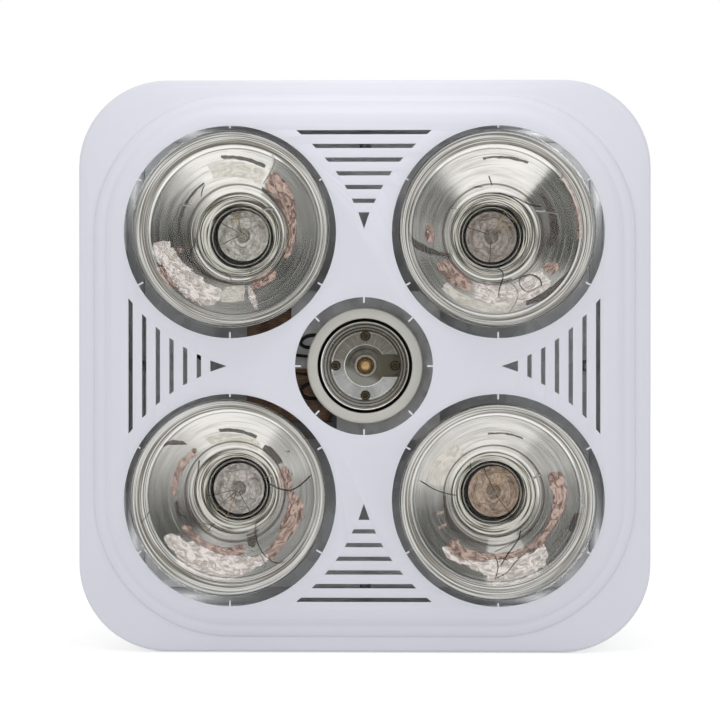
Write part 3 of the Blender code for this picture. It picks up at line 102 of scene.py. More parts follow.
def softened(outline, size, closed=True, steps=3):
    # the outline with each corner rounded off
    result = []
    count = len(outline)
    for index, corner in enumerate(outline):
        corner = Vector(corner)
        if not closed and index in (0, count - 1):
            result.append(tuple(corner))
            continue
        back = Vector(outline[index - 1]) - corner
        ahead = Vector(outline[(index + 1) % count]) - corner
        reach = min(size, back.length * 0.45, ahead.length * 0.45)
        start = corner + back.normalized() * reach
        end = corner + ahead.normalized() * reach
        for step in range(steps + 1):
            t = step / steps
            result.append(tuple(start * (1 - t) ** 2 + corner * 2 * t * (1 - t) + end * t * t))
    return result


def bandInto(builder, one, two):
    # faces between two rings of the same count
    for i in range(len(one)):
        j = (i + 1) % len(one)
        builder.faces.new((one[i], one[j], two[j], two[i]))


def prismInto(builder, outline, low, high):
    # a flat shape between two sets of places; low and high turn (a, b) into a point
    bottom = [builder.verts.new(low(*point)) for point in outline]
    top = [builder.verts.new(high(*point)) for point in outline]
    builder.faces.new(bottom)
    builder.faces.new(top)
    bandInto(builder, bottom, top)


def spinInto(builder, profile, segments, closed=False, matrix=None):
    # (radius, depth) points turned about +Y
    rings = []
    for radius, depth in profile:
        if radius < 0.000001:
            points = [Vector((0.0, depth, 0.0))]
        else:
            points = [Vector((radius * cos(tau * i / segments), depth,
                              radius * sin(tau * i / segments)))
                      for i in range(segments)]
        rings.append([builder.verts.new(matrix @ p if matrix else p) for p in points])
    pairs = list(zip(rings, rings[1:]))
    if closed:
        pairs.append((rings[-1], rings[0]))
    for one, two in pairs:
        for i in range(segments):
            j = (i + 1) % segments
            corners = []
            for vert in (one[i % len(one)], one[j % len(one)],
                         two[j % len(two)], two[i % len(two)]):
                if vert not in corners:
                    corners.append(vert)
            if len(corners) > 2:
                builder.faces.new(corners)


def turned(name, profile, material, at=(0.0, 0.0, 0.0), segments=96, closed=True, stands=(),
           sharpAngle=35.0):
    builder = bmesh.new()
    spinInto(builder, profile, segments, closed)
    return place(name, finishMesh(builder, name, sharpAngle), material, at=at, stands=stands)


def curveThrough(points, perSpan):
    # a smooth line through given points
    points = [Vector(p) for p in points]
    ends = [points[0] * 2 - points[1], *points, points[-1] * 2 - points[-2]]
    line = []
    for a, b, c, d in zip(ends, ends[1:], ends[2:], ends[3:]):
        for i in range(perSpan):
            t = i / perSpan
            line.append(0.5 * (b * 2 + (c - a) * t + (a * 2 - b * 5 + c * 4 - d) * t * t
                               + (b * 3 - a - c * 3 + d) * t ** 3))
    line.append(points[-1])
    return line


def tubeInto(builder, points, radius, sides=8, taper=None):
    # a round wire along points, with its ends closed
    points = [Vector(p) for p in points]
    count = len(points)
    across = None
    rings = []
    for index, point in enumerate(points):
        run = points[min(index + 1, count - 1)] - points[max(index - 1, 0)]
        run.normalize()
        if across is None:
            across = run.orthogonal().normalized()
        else:
            across = (across - run * across.dot(run)).normalized()
        other = run.cross(across)
        size = radius * (taper(index / (count - 1)) if taper else 1.0)
        rings.append([builder.verts.new(point + (across * cos(tau * i / sides)
                                                 + other * sin(tau * i / sides)) * size)
                      for i in range(sides)])
    for one, two in zip(rings, rings[1:]):
        bandInto(builder, one, two)
    builder.faces.new(rings[0][::-1])
    builder.faces.new(rings[-1])


def boxInto(builder, low, high, edge=0.0, matrix=None):
    low, high = Vector(low), Vector(high)
    scale = Matrix.Translation((low + high) / 2) @ Matrix.Diagonal((*(high - low), 1.0))
    made = bmesh.ops.create_cube(builder, size=1.0, matrix=matrix @ scale if matrix else scale)
    if edge:
        edges = {e for v in made["verts"] for e in v.link_edges}
        bmesh.ops.bevel(builder, geom=list(edges), offset=edge, segments=2, profile=0.5,
                        affect="EDGES")


def cylinderInto(builder, radius, start, end, segments=32):
    run = Vector(end) - Vector(start)
    matrix = Matrix.Translation((Vector(start) + Vector(end)) / 2)
    matrix = matrix @ run.to_track_quat("Z", "Y").to_matrix().to_4x4()
    bmesh.ops.create_cone(builder, cap_ends=True, segments=segments, radius1=radius,
                          radius2=radius, depth=run.length, matrix=matrix)


def evaluated(piece):
    # the mesh with its modifiers applied; the piece itself goes
    bpy.context.view_layer.update()
    made = bpy.data.meshes.new_from_object(
        piece.evaluated_get(bpy.context.evaluated_depsgraph_get()))
    bpy.data.objects.remove(piece, do_unlink=True)
    return made


def combined(mesh, cuts, joins=(), edge=0.0, edgeAngle=50.0, sharpAngle=35.0):
    # the mesh with solids joined on, others cut out and a small bevel on its edges
    work = added("work", mesh)
    tools = []
    for builder, operation in ([(b, "UNION") for b in joins]
                               + [(b, "DIFFERENCE") for b in cuts]):
        tool = added("tool", meshFrom(builder, "tool", True))
        tools.append(tool)
        modifier = work.modifiers.new(operation, "BOOLEAN")
        modifier.operation = operation
        modifier.solver = "EXACT"
        modifier.object = tool
    if edge:
        bevel = work.modifiers.new("edges", "BEVEL")
        bevel.width = edge
        bevel.segments = 2
        bevel.limit_method = "ANGLE"
        bevel.angle_limit = radians(edgeAngle)
        bevel.use_clamp_overlap = True
    made = evaluated(work)
    for tool in tools:
        bpy.data.objects.remove(tool, do_unlink=True)
    made.shade_smooth()
    made.set_sharp_from_angle(angle=radians(sharpAngle))
    made.materials.clear()
    return made


def turnY(degrees):
    return Matrix.Rotation(radians(degrees), 4, "Y")


quarterTurns = [turnY(90.0 * side) for side in range(4)]
quadrants = ((1, 1), (-1, 1), (-1, -1), (1, -1))


def circleLine(radius, steps, centre=(0.0, 0.0), start=0.0, sweep=360.0):
    count = steps if sweep == 360.0 else steps + 1
    return [(centre[0] + radius * cos(radians(start + sweep * i / steps)),
             centre[1] + radius * sin(radians(start + sweep * i / steps)))
            for i in range(count)]


def roundedSquare(centre, radius, steps):
    ring = []
    for quarter, (side, up) in enumerate(quadrants):
        ring += circleLine(radius, steps, (side * centre, up * centre), quarter * 90.0, 90.0)
    return ring


def sheetShell(name, rings, facing, thickness):
    # a skin through rings of (x, z) points, each with its depth, closed at the last ring and
    # thickened inward; facing is the way in which the closed end looks along Y
    builder = bmesh.new()
    rows = [[builder.verts.new((x, depth, z)) for x, z in ring] for ring, depth in rings]
    for one, two in zip(rows, rows[1:]):
        bandInto(builder, one, two)
    builder.faces.new(rows[-1])
    bmesh.ops.recalc_face_normals(builder, faces=builder.faces)
    if max(builder.faces, key=lambda f: f.calc_area()).normal.y * facing < 0:
        bmesh.ops.reverse_faces(builder, faces=builder.faces)
    skin = added(name, meshFrom(builder, name))
    wall = skin.modifiers.new("wall", "SOLIDIFY")
    wall.thickness = thickness
    wall.offset = -1.0
    wall.use_even_offset = True
    return evaluated(skin)


# small tools for materials

class Tree:
    # short names for wiring nodes
    def __init__(self, tree):
        self.tree = tree

    def node(self, kind, **settings):
        made = self.tree.nodes.new(kind)
        for key, value in settings.items():
            setattr(made, key, value)
        return made

    def link(self, source, target):
        self.tree.links.new(source, target)

    def math(self, operation, *values):
        made = self.node("ShaderNodeMath", operation=operation)
        for socket, value in zip(made.inputs, values):
            self.feed(value, socket)
        return made.outputs[0]

    def feed(self, value, socket):
        if isinstance(value, bpy.types.NodeSocket):
            self.link(value, socket)
        else:
            socket.default_value = value

    def times(self, one, two):
        return self.math("MULTIPLY", one, two)

    def less(self, one, two):
        return self.math("SUBTRACT", one, two)

    def laid(self, base, mask, strength, tint):
        return self.mixColor(self.times(mask, strength), base, tint)

    def dress(self, shader, **values):
        for key, value in values.items():
            self.link(value, shader.inputs[key.replace("_", " ")])

    def mixColor(self, factor, one, two):
        made = self.node("ShaderNodeMix", data_type="RGBA")
        self.feed(factor, made.inputs["Factor"])
        for label, value in (("A", one), ("B", two)):
            self.feed(colour(value),
                      [s for s in made.inputs if s.name == label and s.type == "RGBA"][0])
        return [s for s in made.outputs if s.type == "RGBA"][0]

    def mapRange(self, value, low, high, toLow=0.0, toHigh=1.0, smooth=True):
        made = self.node("ShaderNodeMapRange",
                         interpolation_type="SMOOTHSTEP" if smooth else "LINEAR")
        for label, given in (("Value", value), ("From Min", low), ("From Max", high),
                             ("To Min", toLow), ("To Max", toHigh)):
            self.feed(given, made.inputs[label])
        return made.outputs["Result"]

    def noise(self, vector, scale, detail=2.0, roughness=0.5, distortion=0.0):
        made = self.node("ShaderNodeTexNoise")
        for label, value in (("Vector", vector), ("Scale", scale), ("Detail", detail),
                             ("Roughness", roughness), ("Distortion", distortion)):
            self.feed(value, made.inputs[label])
        return made.outputs[0]

    def curve(self, value, points, handles="AUTO_CLAMPED"):
        # a line drawn through (degrees, value) points, read round a full turn
        made = self.node("ShaderNodeFloatCurve")
        self.link(value, made.inputs["Value"])
        line = made.mapping.curves[0]
        for index, (at, level) in enumerate(points):
            if index < 2:
                line.points[index].location = (at / 360.0, level)
            else:
                line.points.new(at / 360.0, level)
        for point in line.points:
            point.handle_type = handles
        made.mapping.update()
        return made.outputs[0]

    def combine(self, x, y, z):
        made = self.node("ShaderNodeCombineXYZ")
        for value, socket in zip((x, y, z), made.inputs):
            self.feed(value, socket)
        return made.outputs[0]

    def bump(self, height, strength, distance):
        made = self.node("ShaderNodeBump")
        self.link(height, made.inputs["Height"])
        made.inputs["Strength"].default_value = strength
        made.inputs["Distance"].default_value = distance
        return made.outputs["Normal"]


def colour(value):
    return (*value, 1.0) if isinstance(value, tuple) and len(value) == 3 else value


def newGroup(name, inputs, outputs):
    # inputs have their first values, None for a vector; a Normal is a vector too
    group = bpy.data.node_groups.new(name, "ShaderNodeTree")
    kinds = {True: "NodeSocketVector", False: "NodeSocketFloat"}
    for label, first in inputs.items():
        socket = group.interface.new_socket(name=label, in_out="INPUT",
                                            socket_type=kinds[first is None])
        if first is not None:
            socket.default_value = first
    for label in outputs:
        group.interface.new_socket(name=label, in_out="OUTPUT",
                                   socket_type=kinds[label == "Normal"])
    tree = Tree(group)
    return (group, tree, tree.node("NodeGroupInput").outputs,
            tree.node("NodeGroupOutput").inputs)


def useGroup(tree, group, **values):
    made = tree.node("ShaderNodeGroup")
    made.node_tree = group
    for key, value in values.items():
        tree.feed(value, made.inputs[key])
    return made.outputs


def newMaterial(name, **sockets):
    material = bpy.data.materials.new(name)
    material.use_nodes = True
    tree = Tree(material.node_tree)
    shader = material.node_tree.nodes["Principled BSDF"]
    for key, value in sockets.items():
        shader.inputs[key.replace("_", " ")].default_value = colour(value)
    return material, tree, shader


# fine grain of moulded plastic, glaze and paint
def makeGrain():
    group, tree, get, put = newGroup(
        "surfaceGrain", {"Vector": None, "Scale": 900.0, "Patches": 14.0}, ["Height", "Cloud"])
    fine = tree.noise(get["Vector"], get["Scale"], 3.0, 0.6)
    broad = tree.noise(get["Vector"], get["Patches"], 4.0, 0.55)
    tree.link(fine, put["Height"])
    tree.link(tree.mapRange(broad, 0.3, 0.7), put["Cloud"])
    return group


# crystal pattern of galvanised sheet
def makeSpangle():
    group, tree, get, put = newGroup(
        "zincSpangle", {"Vector": None, "Scale": 110.0, "Contrast": 0.5},
        ["Shade", "Roughness", "Height"])
    warp = tree.noise(get["Vector"], 60.0, 2.0, 0.5)
    shift = tree.node("ShaderNodeVectorMath", operation="MULTIPLY_ADD")
    tree.link(tree.combine(warp, warp, warp), shift.inputs[0])
    shift.inputs[1].default_value = (0.006, 0.006, 0.006)
    tree.link(get["Vector"], shift.inputs[2])
    cells = tree.node("ShaderNodeTexVoronoi", feature="F1")
    tree.link(shift.outputs[0], cells.inputs["Vector"])
    tree.link(get["Scale"], cells.inputs["Scale"])
    split = tree.node("ShaderNodeSeparateColor")
    tree.link(cells.outputs["Color"], split.inputs[0])
    centred = tree.less(split.outputs[0], 0.5)
    shade = tree.math("MULTIPLY_ADD", centred, get["Contrast"], 0.5)
    tree.link(shade, put["Shade"])
    tree.link(tree.mapRange(split.outputs[1], 0.0, 1.0, 0.3, 0.5, False), put["Roughness"])
    tree.link(tree.noise(get["Vector"], 700.0, 3.0, 0.6), put["Height"])
    return group


# polar place on a turned piece: object coordinates about the piece's own axis
def makePolar():
    group, tree, get, put = newGroup("polarPlace", {"Vector": None},
                                     ["Radius", "Angle", "Depth"])
    split = tree.node("ShaderNodeSeparateXYZ")
    tree.link(get["Vector"], split.inputs[0])
    x, y, z = split.outputs
    squares = tree.math("ADD", tree.times(x, x), tree.times(z, z))
    tree.link(tree.math("SQRT", squares), put["Radius"])
    tree.link(tree.math("ARCTAN2", z, x), put["Angle"])
    tree.link(y, put["Depth"])
    return group


# a band between two radii, with a ragged edge
def makeBand():
    group, tree, get, put = newGroup(
        "raggedBand", {"Share": 0.0, "Low": 0.4, "High": 0.6, "Noise": 0.5, "Ragged": 0.05,
                       "Soft": 0.01}, ["Mask"])
    rough = tree.less(get["Noise"], 0.5)
    share = tree.math("MULTIPLY_ADD", rough, get["Ragged"], get["Share"])
    soft = get["Soft"]
    above = tree.mapRange(tree.less(share, get["Low"]), tree.times(soft, -1.0), soft)
    below = tree.mapRange(tree.less(get["High"], share), tree.times(soft, -1.0), soft)
    tree.link(tree.times(above, below), put["Mask"])
    return group


# the normal of a silvered bowl, leaning towards its open front like the dimples of a reflector
def makeLean():
    group, tree, get, put = newGroup("leaningNormal", {"Lean": 1.0}, ["Normal"])
    normal = tree.node("ShaderNodeTexCoord").outputs["Normal"]
    split = tree.node("ShaderNodeSeparateXYZ")
    tree.link(normal, split.inputs[0])
    inner = tree.mapRange(split.outputs[1], 0.05, -0.2)
    push = tree.times(inner, get["Lean"])
    add = tree.node("ShaderNodeVectorMath", operation="MULTIPLY_ADD")
    tree.link(tree.combine(0.0, push, 0.0), add.inputs[0])
    add.inputs[1].default_value = (0.0, -1.0, 0.0)
    tree.link(normal, add.inputs[2])
    world = tree.node("ShaderNodeVectorTransform", vector_type="NORMAL", convert_from="OBJECT",
                      convert_to="WORLD")
    tree.link(add.outputs[0], world.inputs[0])
    unit = tree.node("ShaderNodeVectorMath", operation="NORMALIZE")
    tree.link(world.outputs[0], unit.inputs[0])
    tree.link(unit.outputs[0], put["Normal"])
    return group


# long fine rings round a turned piece, each paler or darker along its length
def makeRings():
    group, tree, get, put = newGroup(
        "fineRings", {"Share": 0.0, "Angle": 0.0, "Count": 40.0, "Drift": 1.0, "Seed": 0.0},
        ["Level"])
    across = tree.math("MULTIPLY_ADD", get["Share"], get["Count"], get["Seed"])
    cosine = tree.times(tree.math("COSINE", get["Angle"]), get["Drift"])
    sine = tree.times(tree.math("SINE", get["Angle"]), get["Drift"])
    level = tree.noise(tree.combine(across, cosine, sine), 1.0, 3.0, 0.55)
    tree.link(level, put["Level"])
    return group


# a thin line drawn round at one place
def makeLine():
    group, tree, get, put = newGroup(
        "turnedLine", {"Place": 0.0, "At": 0.5, "Thin": 0.1, "Wide": 0.2}, ["Mask"])
    away = tree.math("ABSOLUTE", tree.less(get["Place"], get["At"]))
    tree.link(tree.mapRange(away, get["Thin"], get["Wide"], 1.0, 0.0), put["Mask"])
    return group


# how far a place lies towards one side of a turned piece, as -1 to 1
def makeSide():
    group, tree, get, put = newGroup("towardSide", {"Angle": 0.0, "Toward": 0.0}, ["Level"])
    tree.link(tree.math("COSINE", tree.less(get["Angle"], get["Toward"])), put["Level"])
    return group


grainGroup = makeGrain()
spangleGroup = makeSpangle()
polarGroup = makePolar()
bandGroup = makeBand()
ringGroup = makeRings()
leanGroup = makeLean()
lineGroup = makeLine()
sideGroup = makeSide()


def objectPlace(tree):
    return tree.node("ShaderNodeTexCoord").outputs["Object"]


def lineAt(tree, where, at, thin, wide):
    return useGroup(tree, lineGroup, Place=where, At=at, Thin=thin, Wide=wide)["Mask"]


def sideways(tree, angle, degrees):
    return useGroup(tree, sideGroup, Angle=angle, Toward=radians(degrees))["Level"]


def plasticMaterial(name, tint, roughness, grainScale=900.0, grainDepth=0.00001, cloud=0.02,
                    coat=0.0):
    material, tree, shader = newMaterial(name, Roughness=roughness, Coat_Weight=coat,
                                         Coat_Roughness=0.05)
    grain = useGroup(tree, grainGroup, Vector=objectPlace(tree), Scale=grainScale)
    darker = tuple(c * (1.0 - 2.0 * cloud) for c in tint)
    dull = tree.mapRange(grain["Cloud"], 0.0, 1.0, roughness + 0.04, roughness, False)
    tree.dress(shader, Base_Color=tree.mixColor(grain["Cloud"], darker, tint), Roughness=dull,
               Normal=tree.bump(grain["Height"], 0.5, grainDepth))
    return material


def zincMaterial(name, tint=(0.60, 0.61, 0.62), scale=110.0, contrast=0.35):
    material, tree, shader = newMaterial(name, Metallic=0.45)
    spangle = useGroup(tree, spangleGroup, Vector=objectPlace(tree), Scale=scale,
                       Contrast=contrast)
    dark = tuple(c * 0.7 for c in tint)
    light = tuple(min(1.0, c * 1.25) for c in tint)
    tree.dress(shader, Base_Color=tree.mixColor(spangle["Shade"], dark, light),
               Roughness=spangle["Roughness"],
               Normal=tree.bump(spangle["Height"], 0.25, 0.00003))
    return material


def metalMaterial(name, tint, roughness, stretch=(1.0, 1.0, 1.0), scale=400.0, depth=0.00001,
                  variation=0.12, metallic=1.0):
    # drawn, rolled or machined metal, with lines along the axis that is stretched least
    material, tree, shader = newMaterial(name, Metallic=metallic)
    warp = tree.node("ShaderNodeMapping")
    tree.link(objectPlace(tree), warp.inputs["Vector"])
    warp.inputs["Scale"].default_value = stretch
    lines = tree.noise(warp.outputs["Vector"], scale, 3.0, 0.6)
    dark = tuple(c * (1.0 - variation) for c in tint)
    light = tuple(min(1.0, c * (1.0 + variation)) for c in tint)
    shade = tree.mapRange(lines, 0.3, 0.7)
    tree.dress(shader, Base_Color=tree.mixColor(shade, dark, light),
               Roughness=tree.mapRange(shade, 0.0, 1.0, roughness + 0.1, roughness, False),
               Normal=tree.bump(lines, 0.4, depth))
    return material


whitePlastic = plasticMaterial("glossWhitePlastic", (0.823, 0.83, 0.913), 0.2, 700.0, 0.000006,
                               0.006, 0.35)
greyPlastic = plasticMaterial("greyPlastic", (0.55, 0.56, 0.58), 0.42, 900.0, 0.00003, 0.03)
blackPlastic = plasticMaterial("blackPlastic", (0.022, 0.022, 0.024), 0.42, 900.0, 0.00003, 0.1)
rubberMaterial = plasticMaterial("blackRubber", (0.02, 0.02, 0.021), 0.7, 600.0, 0.00004, 0.1)
brownSleeve = plasticMaterial("brownSleeve", (0.075, 0.035, 0.022), 0.45, 500.0, 0.00003, 0.08)
blackSleeve = plasticMaterial("blackSleeve", (0.02, 0.018, 0.016), 0.45, 500.0, 0.00003, 0.08)
porcelain = plasticMaterial("creamPorcelain", (0.96, 0.945, 0.86), 0.28, 500.0, 0.00002, 0.05,
                            0.4)
zincSheet = zincMaterial("galvanisedSheet")
zincBracket = zincMaterial("galvanisedBracket", (0.62, 0.62, 0.63), 160.0, 0.3)
platedSteel = metalMaterial("platedSteel", (0.70, 0.70, 0.68), 0.2)
steelPin = metalMaterial("groundSteel", (0.55, 0.55, 0.55), 0.25, (1.0, 8.0, 1.0))
spotSteel = metalMaterial("springSteel", (0.32, 0.32, 0.34), 0.32)
bronze = metalMaterial("oiledBronze", (0.50, 0.36, 0.20), 0.38)


def laminationMaterial():
    # stacked sheets, dark and slightly rusty at the cut edges
    material, tree, shader = newMaterial("stackedLaminations", Metallic=0.7)
    where = objectPlace(tree)
    split = tree.node("ShaderNodeSeparateXYZ")
    tree.link(where, split.inputs[0])
    pitch = 0.0007
    wave = tree.math("FRACT", tree.math("DIVIDE", split.outputs[1], pitch))
    line = tree.mapRange(tree.math("ABSOLUTE", tree.less(wave, 0.5)), 0.32, 0.48)
    blot = tree.mapRange(tree.noise(where, 140.0, 4.0, 0.6), 0.5, 0.72)
    base = tree.mixColor(blot, (0.20, 0.205, 0.215), (0.24, 0.15, 0.09))
    tree.dress(shader, Base_Color=tree.mixColor(line, base, (0.05, 0.05, 0.05)),
               Roughness=tree.mapRange(line, 0.0, 1.0, 0.42, 0.7, False),
               Normal=tree.bump(tree.less(1.0, line), 0.6, 0.0001))
    return material


def windingMaterial():
    # enamelled copper, darker between the turns
    material, tree, shader = newMaterial("varnishedWinding", Metallic=0.2, Coat_Weight=0.5,
                                         Coat_Roughness=0.15)
    where = objectPlace(tree)
    blot = tree.mapRange(tree.noise(where, 90.0, 4.0, 0.6), 0.35, 0.7)
    fine = tree.noise(where, 900.0, 2.0, 0.5)
    tree.dress(shader, Base_Color=tree.mixColor(blot, (0.44, 0.28, 0.185), (0.20, 0.13, 0.09)),
               Roughness=tree.mapRange(blot, 0.0, 1.0, 0.28, 0.45, False),
               Normal=tree.bump(fine, 0.3, 0.00003))
    return material


laminations = laminationMaterial()
winding = windingMaterial()
clearGlass = newMaterial("clearGlass", Base_Color=(0.99, 0.99, 0.985), Roughness=0.0, IOR=1.2,
                         Transmission_Weight=1.0)[0]
stemGlass, stemTree, stemShader = newMaterial(
    "stemGlass", Base_Color=(0.93, 0.92, 0.88), Roughness=0.03, IOR=1.5, Transmission_Weight=0.9)
wavyNoise = stemTree.noise(objectPlace(stemTree), 260.0, 2.0, 0.5)
stemTree.dress(stemShader, Normal=stemTree.bump(wavyNoise, 0.6, 0.0004))
print("materials ready")


# front panel

panel = {
    "half": 0.18505, "cornerRadius": 0.057, "wall": 0.0022, "depth": 0.018,
    "rimDepth": 0.0095, "rimFall": 0.0013, "edgeRadius": 0.0028,
    "holeRadius": 0.06825, "centreHole": 0.0443, "holeWeb": 0.00935,
    "mouldingWidth": 0.02075,
    "mouldingShares": [(0.0, 0.0), (0.072, 0.294), (0.217, 0.482), (0.376, 0.529),
                       (0.453, 0.718), (0.602, 0.929), (0.771, 1.0)],
    "mouldingRound": 0.0011, "cornerSteps": 20, "edge": 0.0003,
    "crown": 0.0004, "slotCount": 6, "slotPitch": 0.0088, "slotWidth": 0.0028,
    "grilleInset": 0.00425,
    "slotShares": [0.506, 0.389, 0.293, 0.211, 0.145, 0.091, 0.046],
    "pointerBase": 0.0072, "pointerHeight": 0.0105,
    "tickWidth": 0.0012, "tickShare": 0.6, "tickLap": 0.0006, "lampTicks": 6,
    "firstTick": 30.0, "centreTicks": 8, "lampGap": 0.00475,
    "bearingRib": (0.025, 0.001), "webRibs": (-0.07, 0.07), "webRib": (0.0008, 0.1535, 0.1605),
    "lugEye": 0.0078, "lugHalf": (0.001, 0.0025), "lugHole": 0.0015,
}
lampSides = {1: (-1, 1), 2: (1, 1), 3: (-1, -1), 4: (1, -1)}
lampOffset = (panel["centreHole"] + panel["holeRadius"] + panel["holeWeb"]) / sqrt(2.0)
grilleOuter = lampOffset + panel["holeRadius"] - panel["grilleInset"]
panelBack = panel["wall"] - panel["depth"]
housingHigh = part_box("housing")[1]
plateLow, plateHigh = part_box("chassis_plate")
housingWall = plateHigh.x + 0.0013    # outside face of the side walls
ribPlace = (housingWall + housingHigh.x) / 2
springPlace = grilleOuter - panel["slotPitch"] / 2
lugEye = panelBack + panel["lugEye"]


def lampAxis(number):
    low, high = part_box(f"heat_lamp_{number}_bulb")
    return ((low.x + high.x) / 2, (low.z + high.z) / 2)


def buildPanel():
    corner = panel["cornerRadius"]
    centre = panel["half"] - corner
    steps = panel["cornerSteps"]
    rimFront = -(panel["rimDepth"] - panel["rimFall"])
    round = panel["edgeRadius"]
    rings = [(roundedSquare(centre, corner, steps), 0.0)]
    for index in range(7):
        angle = pi / 2 * index / 6
        rings.append((roundedSquare(centre, corner - round * (1 - cos(angle)), steps),
                      rimFront + round * (1 - sin(angle))))
    moulding = panel["mouldingWidth"]
    reach = panel["holeRadius"] + moulding
    rimInner = corner - round
    for index in range(1, 5):
        share = index / 5
        crown = panel["crown"] * sin(pi * share)
        rings.append((roundedSquare(centre + (lampOffset - centre) * share,
                                    rimInner + (reach - rimInner) * share, steps),
                      rimFront - panel["rimFall"] * share - crown))
    rise = panel["depth"] - panel["rimDepth"]
    outline = [(moulding * width, rise * height) for width, height in panel["mouldingShares"]]
    for width, height in softened(outline, panel["mouldingRound"], False, 3):
        rings.append((roundedSquare(lampOffset, reach - width, steps),
                      -(panel["rimDepth"] + height)))
    solid = sheetShell("panelSkin", rings, -1, panel["wall"])
    front, back = -(panel["depth"] + 0.002), panelBack + 0.002
    holes = bmesh.new()
    for side, up in lampSides.values():
        cylinderInto(holes, panel["holeRadius"], (side * lampOffset, front, up * lampOffset),
                     (side * lampOffset, back, up * lampOffset), 144)
    cylinderInto(holes, panel["centreHole"], (0, front, 0), (0, back, 0), 112)
    slots = bmesh.new()
    pitch, width = panel["slotPitch"], panel["slotWidth"]
    shapes = []
    for index in range(panel["slotCount"]):
        outer = grilleOuter - index * pitch + width / 2
        longHalf = lampOffset * panel["slotShares"][index]
        nextHalf = lampOffset * panel["slotShares"][index + 1]
        shortHalf = longHalf - (longHalf - nextHalf) * width / pitch
        shapes.append([(-longHalf, outer), (longHalf, outer),
                       (shortHalf, outer - width), (-shortHalf, outer - width)])
    base = grilleOuter - panel["slotCount"] * pitch + width / 2
    half = panel["pointerBase"] / 2
    shapes.append([(-half, base), (half, base), (0.0, base - panel["pointerHeight"])])
    for turn in quarterTurns:
        for shape in shapes:
            prismInto(slots, softened(shape, 0.0004, True, 2),
                      lambda x, z: turn @ Vector((x, front, z)),
                      lambda x, z: turn @ Vector((x, back, z)))
    mesh = combined(solid, (holes, slots), (), panel["edge"], 55.0, 32.0)
    place("frontPanel", mesh, whitePlastic, "fascia_body", stands=("fascia",))


def buildTicks():
    builder = bmesh.new()
    front = -panel["depth"] + 0.0003
    back = panelBack - 0.0003
    half = panel["tickWidth"] / 2
    lap = panel["tickLap"]
    for number, (side, up) in lampSides.items():
        across, along = side * lampOffset, up * lampOffset
        lampX, lampZ = lampAxis(number)
        for index in range(panel["lampTicks"]):
            angle = panel["firstTick"] + 360.0 * index / panel["lampTicks"]
            out = (cos(radians(angle)), sin(radians(angle)))
            lean = (lampX - across) * out[0] + (lampZ - along) * out[1]
            length = panel["tickShare"] * (panel["lampGap"] - lean)
            turn = Matrix.Translation((across, 0, along)) @ turnY(-angle)
            boxInto(builder, (panel["holeRadius"] - length, front, -half),
                    (panel["holeRadius"] + lap, back, half), 0.0002, turn)
    length = panel["tickShare"] * (panel["centreHole"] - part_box("light_holder_body")[1].x)
    for index in range(panel["centreTicks"]):
        boxInto(builder, (panel["centreHole"] - length, front, -half),
                (panel["centreHole"] + lap, back, half), 0.0002,
                turnY(360.0 * index / panel["centreTicks"]))
    place("panelTicks", finishMesh(builder, "panelTicks"), whitePlastic, "fascia_body")


def buildPanelBack():
    # ribs that bear on the flange, spring lugs, and the web of stiffening ribs behind the face
    builder, lugs, eyes = bmesh.new(), bmesh.new(), bmesh.new()
    front = panelBack - 0.0006
    long, half = panel["bearingRib"]
    thin, inner, outer = panel["webRib"]
    lugX, lugZ = panel["lugHalf"]
    for turn in quarterTurns:
        boxInto(builder, (-long, front, ribPlace - half), (long, -0.0013, ribPlace + half),
                0.0004, turn)
        for along in panel["webRibs"]:
            boxInto(builder, (along - thin, front, inner), (along + thin, -0.0045, outer),
                    0.0003, turn)
        boxInto(lugs, (-lugX, front, springPlace - lugZ),
                (lugX, lugEye + 0.0028, springPlace + lugZ), 0.0003, turn)
        cylinderInto(eyes, panel["lugHole"], turn @ Vector((-0.002, lugEye, springPlace)),
                     turn @ Vector((0.002, lugEye, springPlace)), 20)
    place("panelRibs", finishMesh(builder, "panelRibs"), whitePlastic, "fascia_body")
    place("panelLugs", combined(meshFrom(lugs, "lugBlocks", True), (eyes,)), whitePlastic,
          "fascia_body")


buildPanel()
buildTicks()
buildPanelBack()
print("front panel ready")


# heat lamps

lamp = {
    "radius": 0.0635, "dome": 0.1016, "shoulder": 0.0135, "glass": 0.001,
    "bowlShares": [(0.0, 1.0), (0.09, 0.975), (0.22, 0.89), (0.38, 0.72), (0.54, 0.535),
                   (0.68, 0.40), (0.80, 0.355), (0.93, 0.335), (1.0, 0.225)],
    "ridges": (0.019, 0.0345), "ridgeCount": 3.5, "ridgeHeight": 0.00035,
    "segments": 128, "domeSteps": 22, "lean": {1: (0.0008, 0.0009), 4: (0.0012, 0.0005)},
}
lampWidest = panel["wall"] / 2 - panel["depth"]
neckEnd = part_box("heat_lamp_1_bulb")[1].y
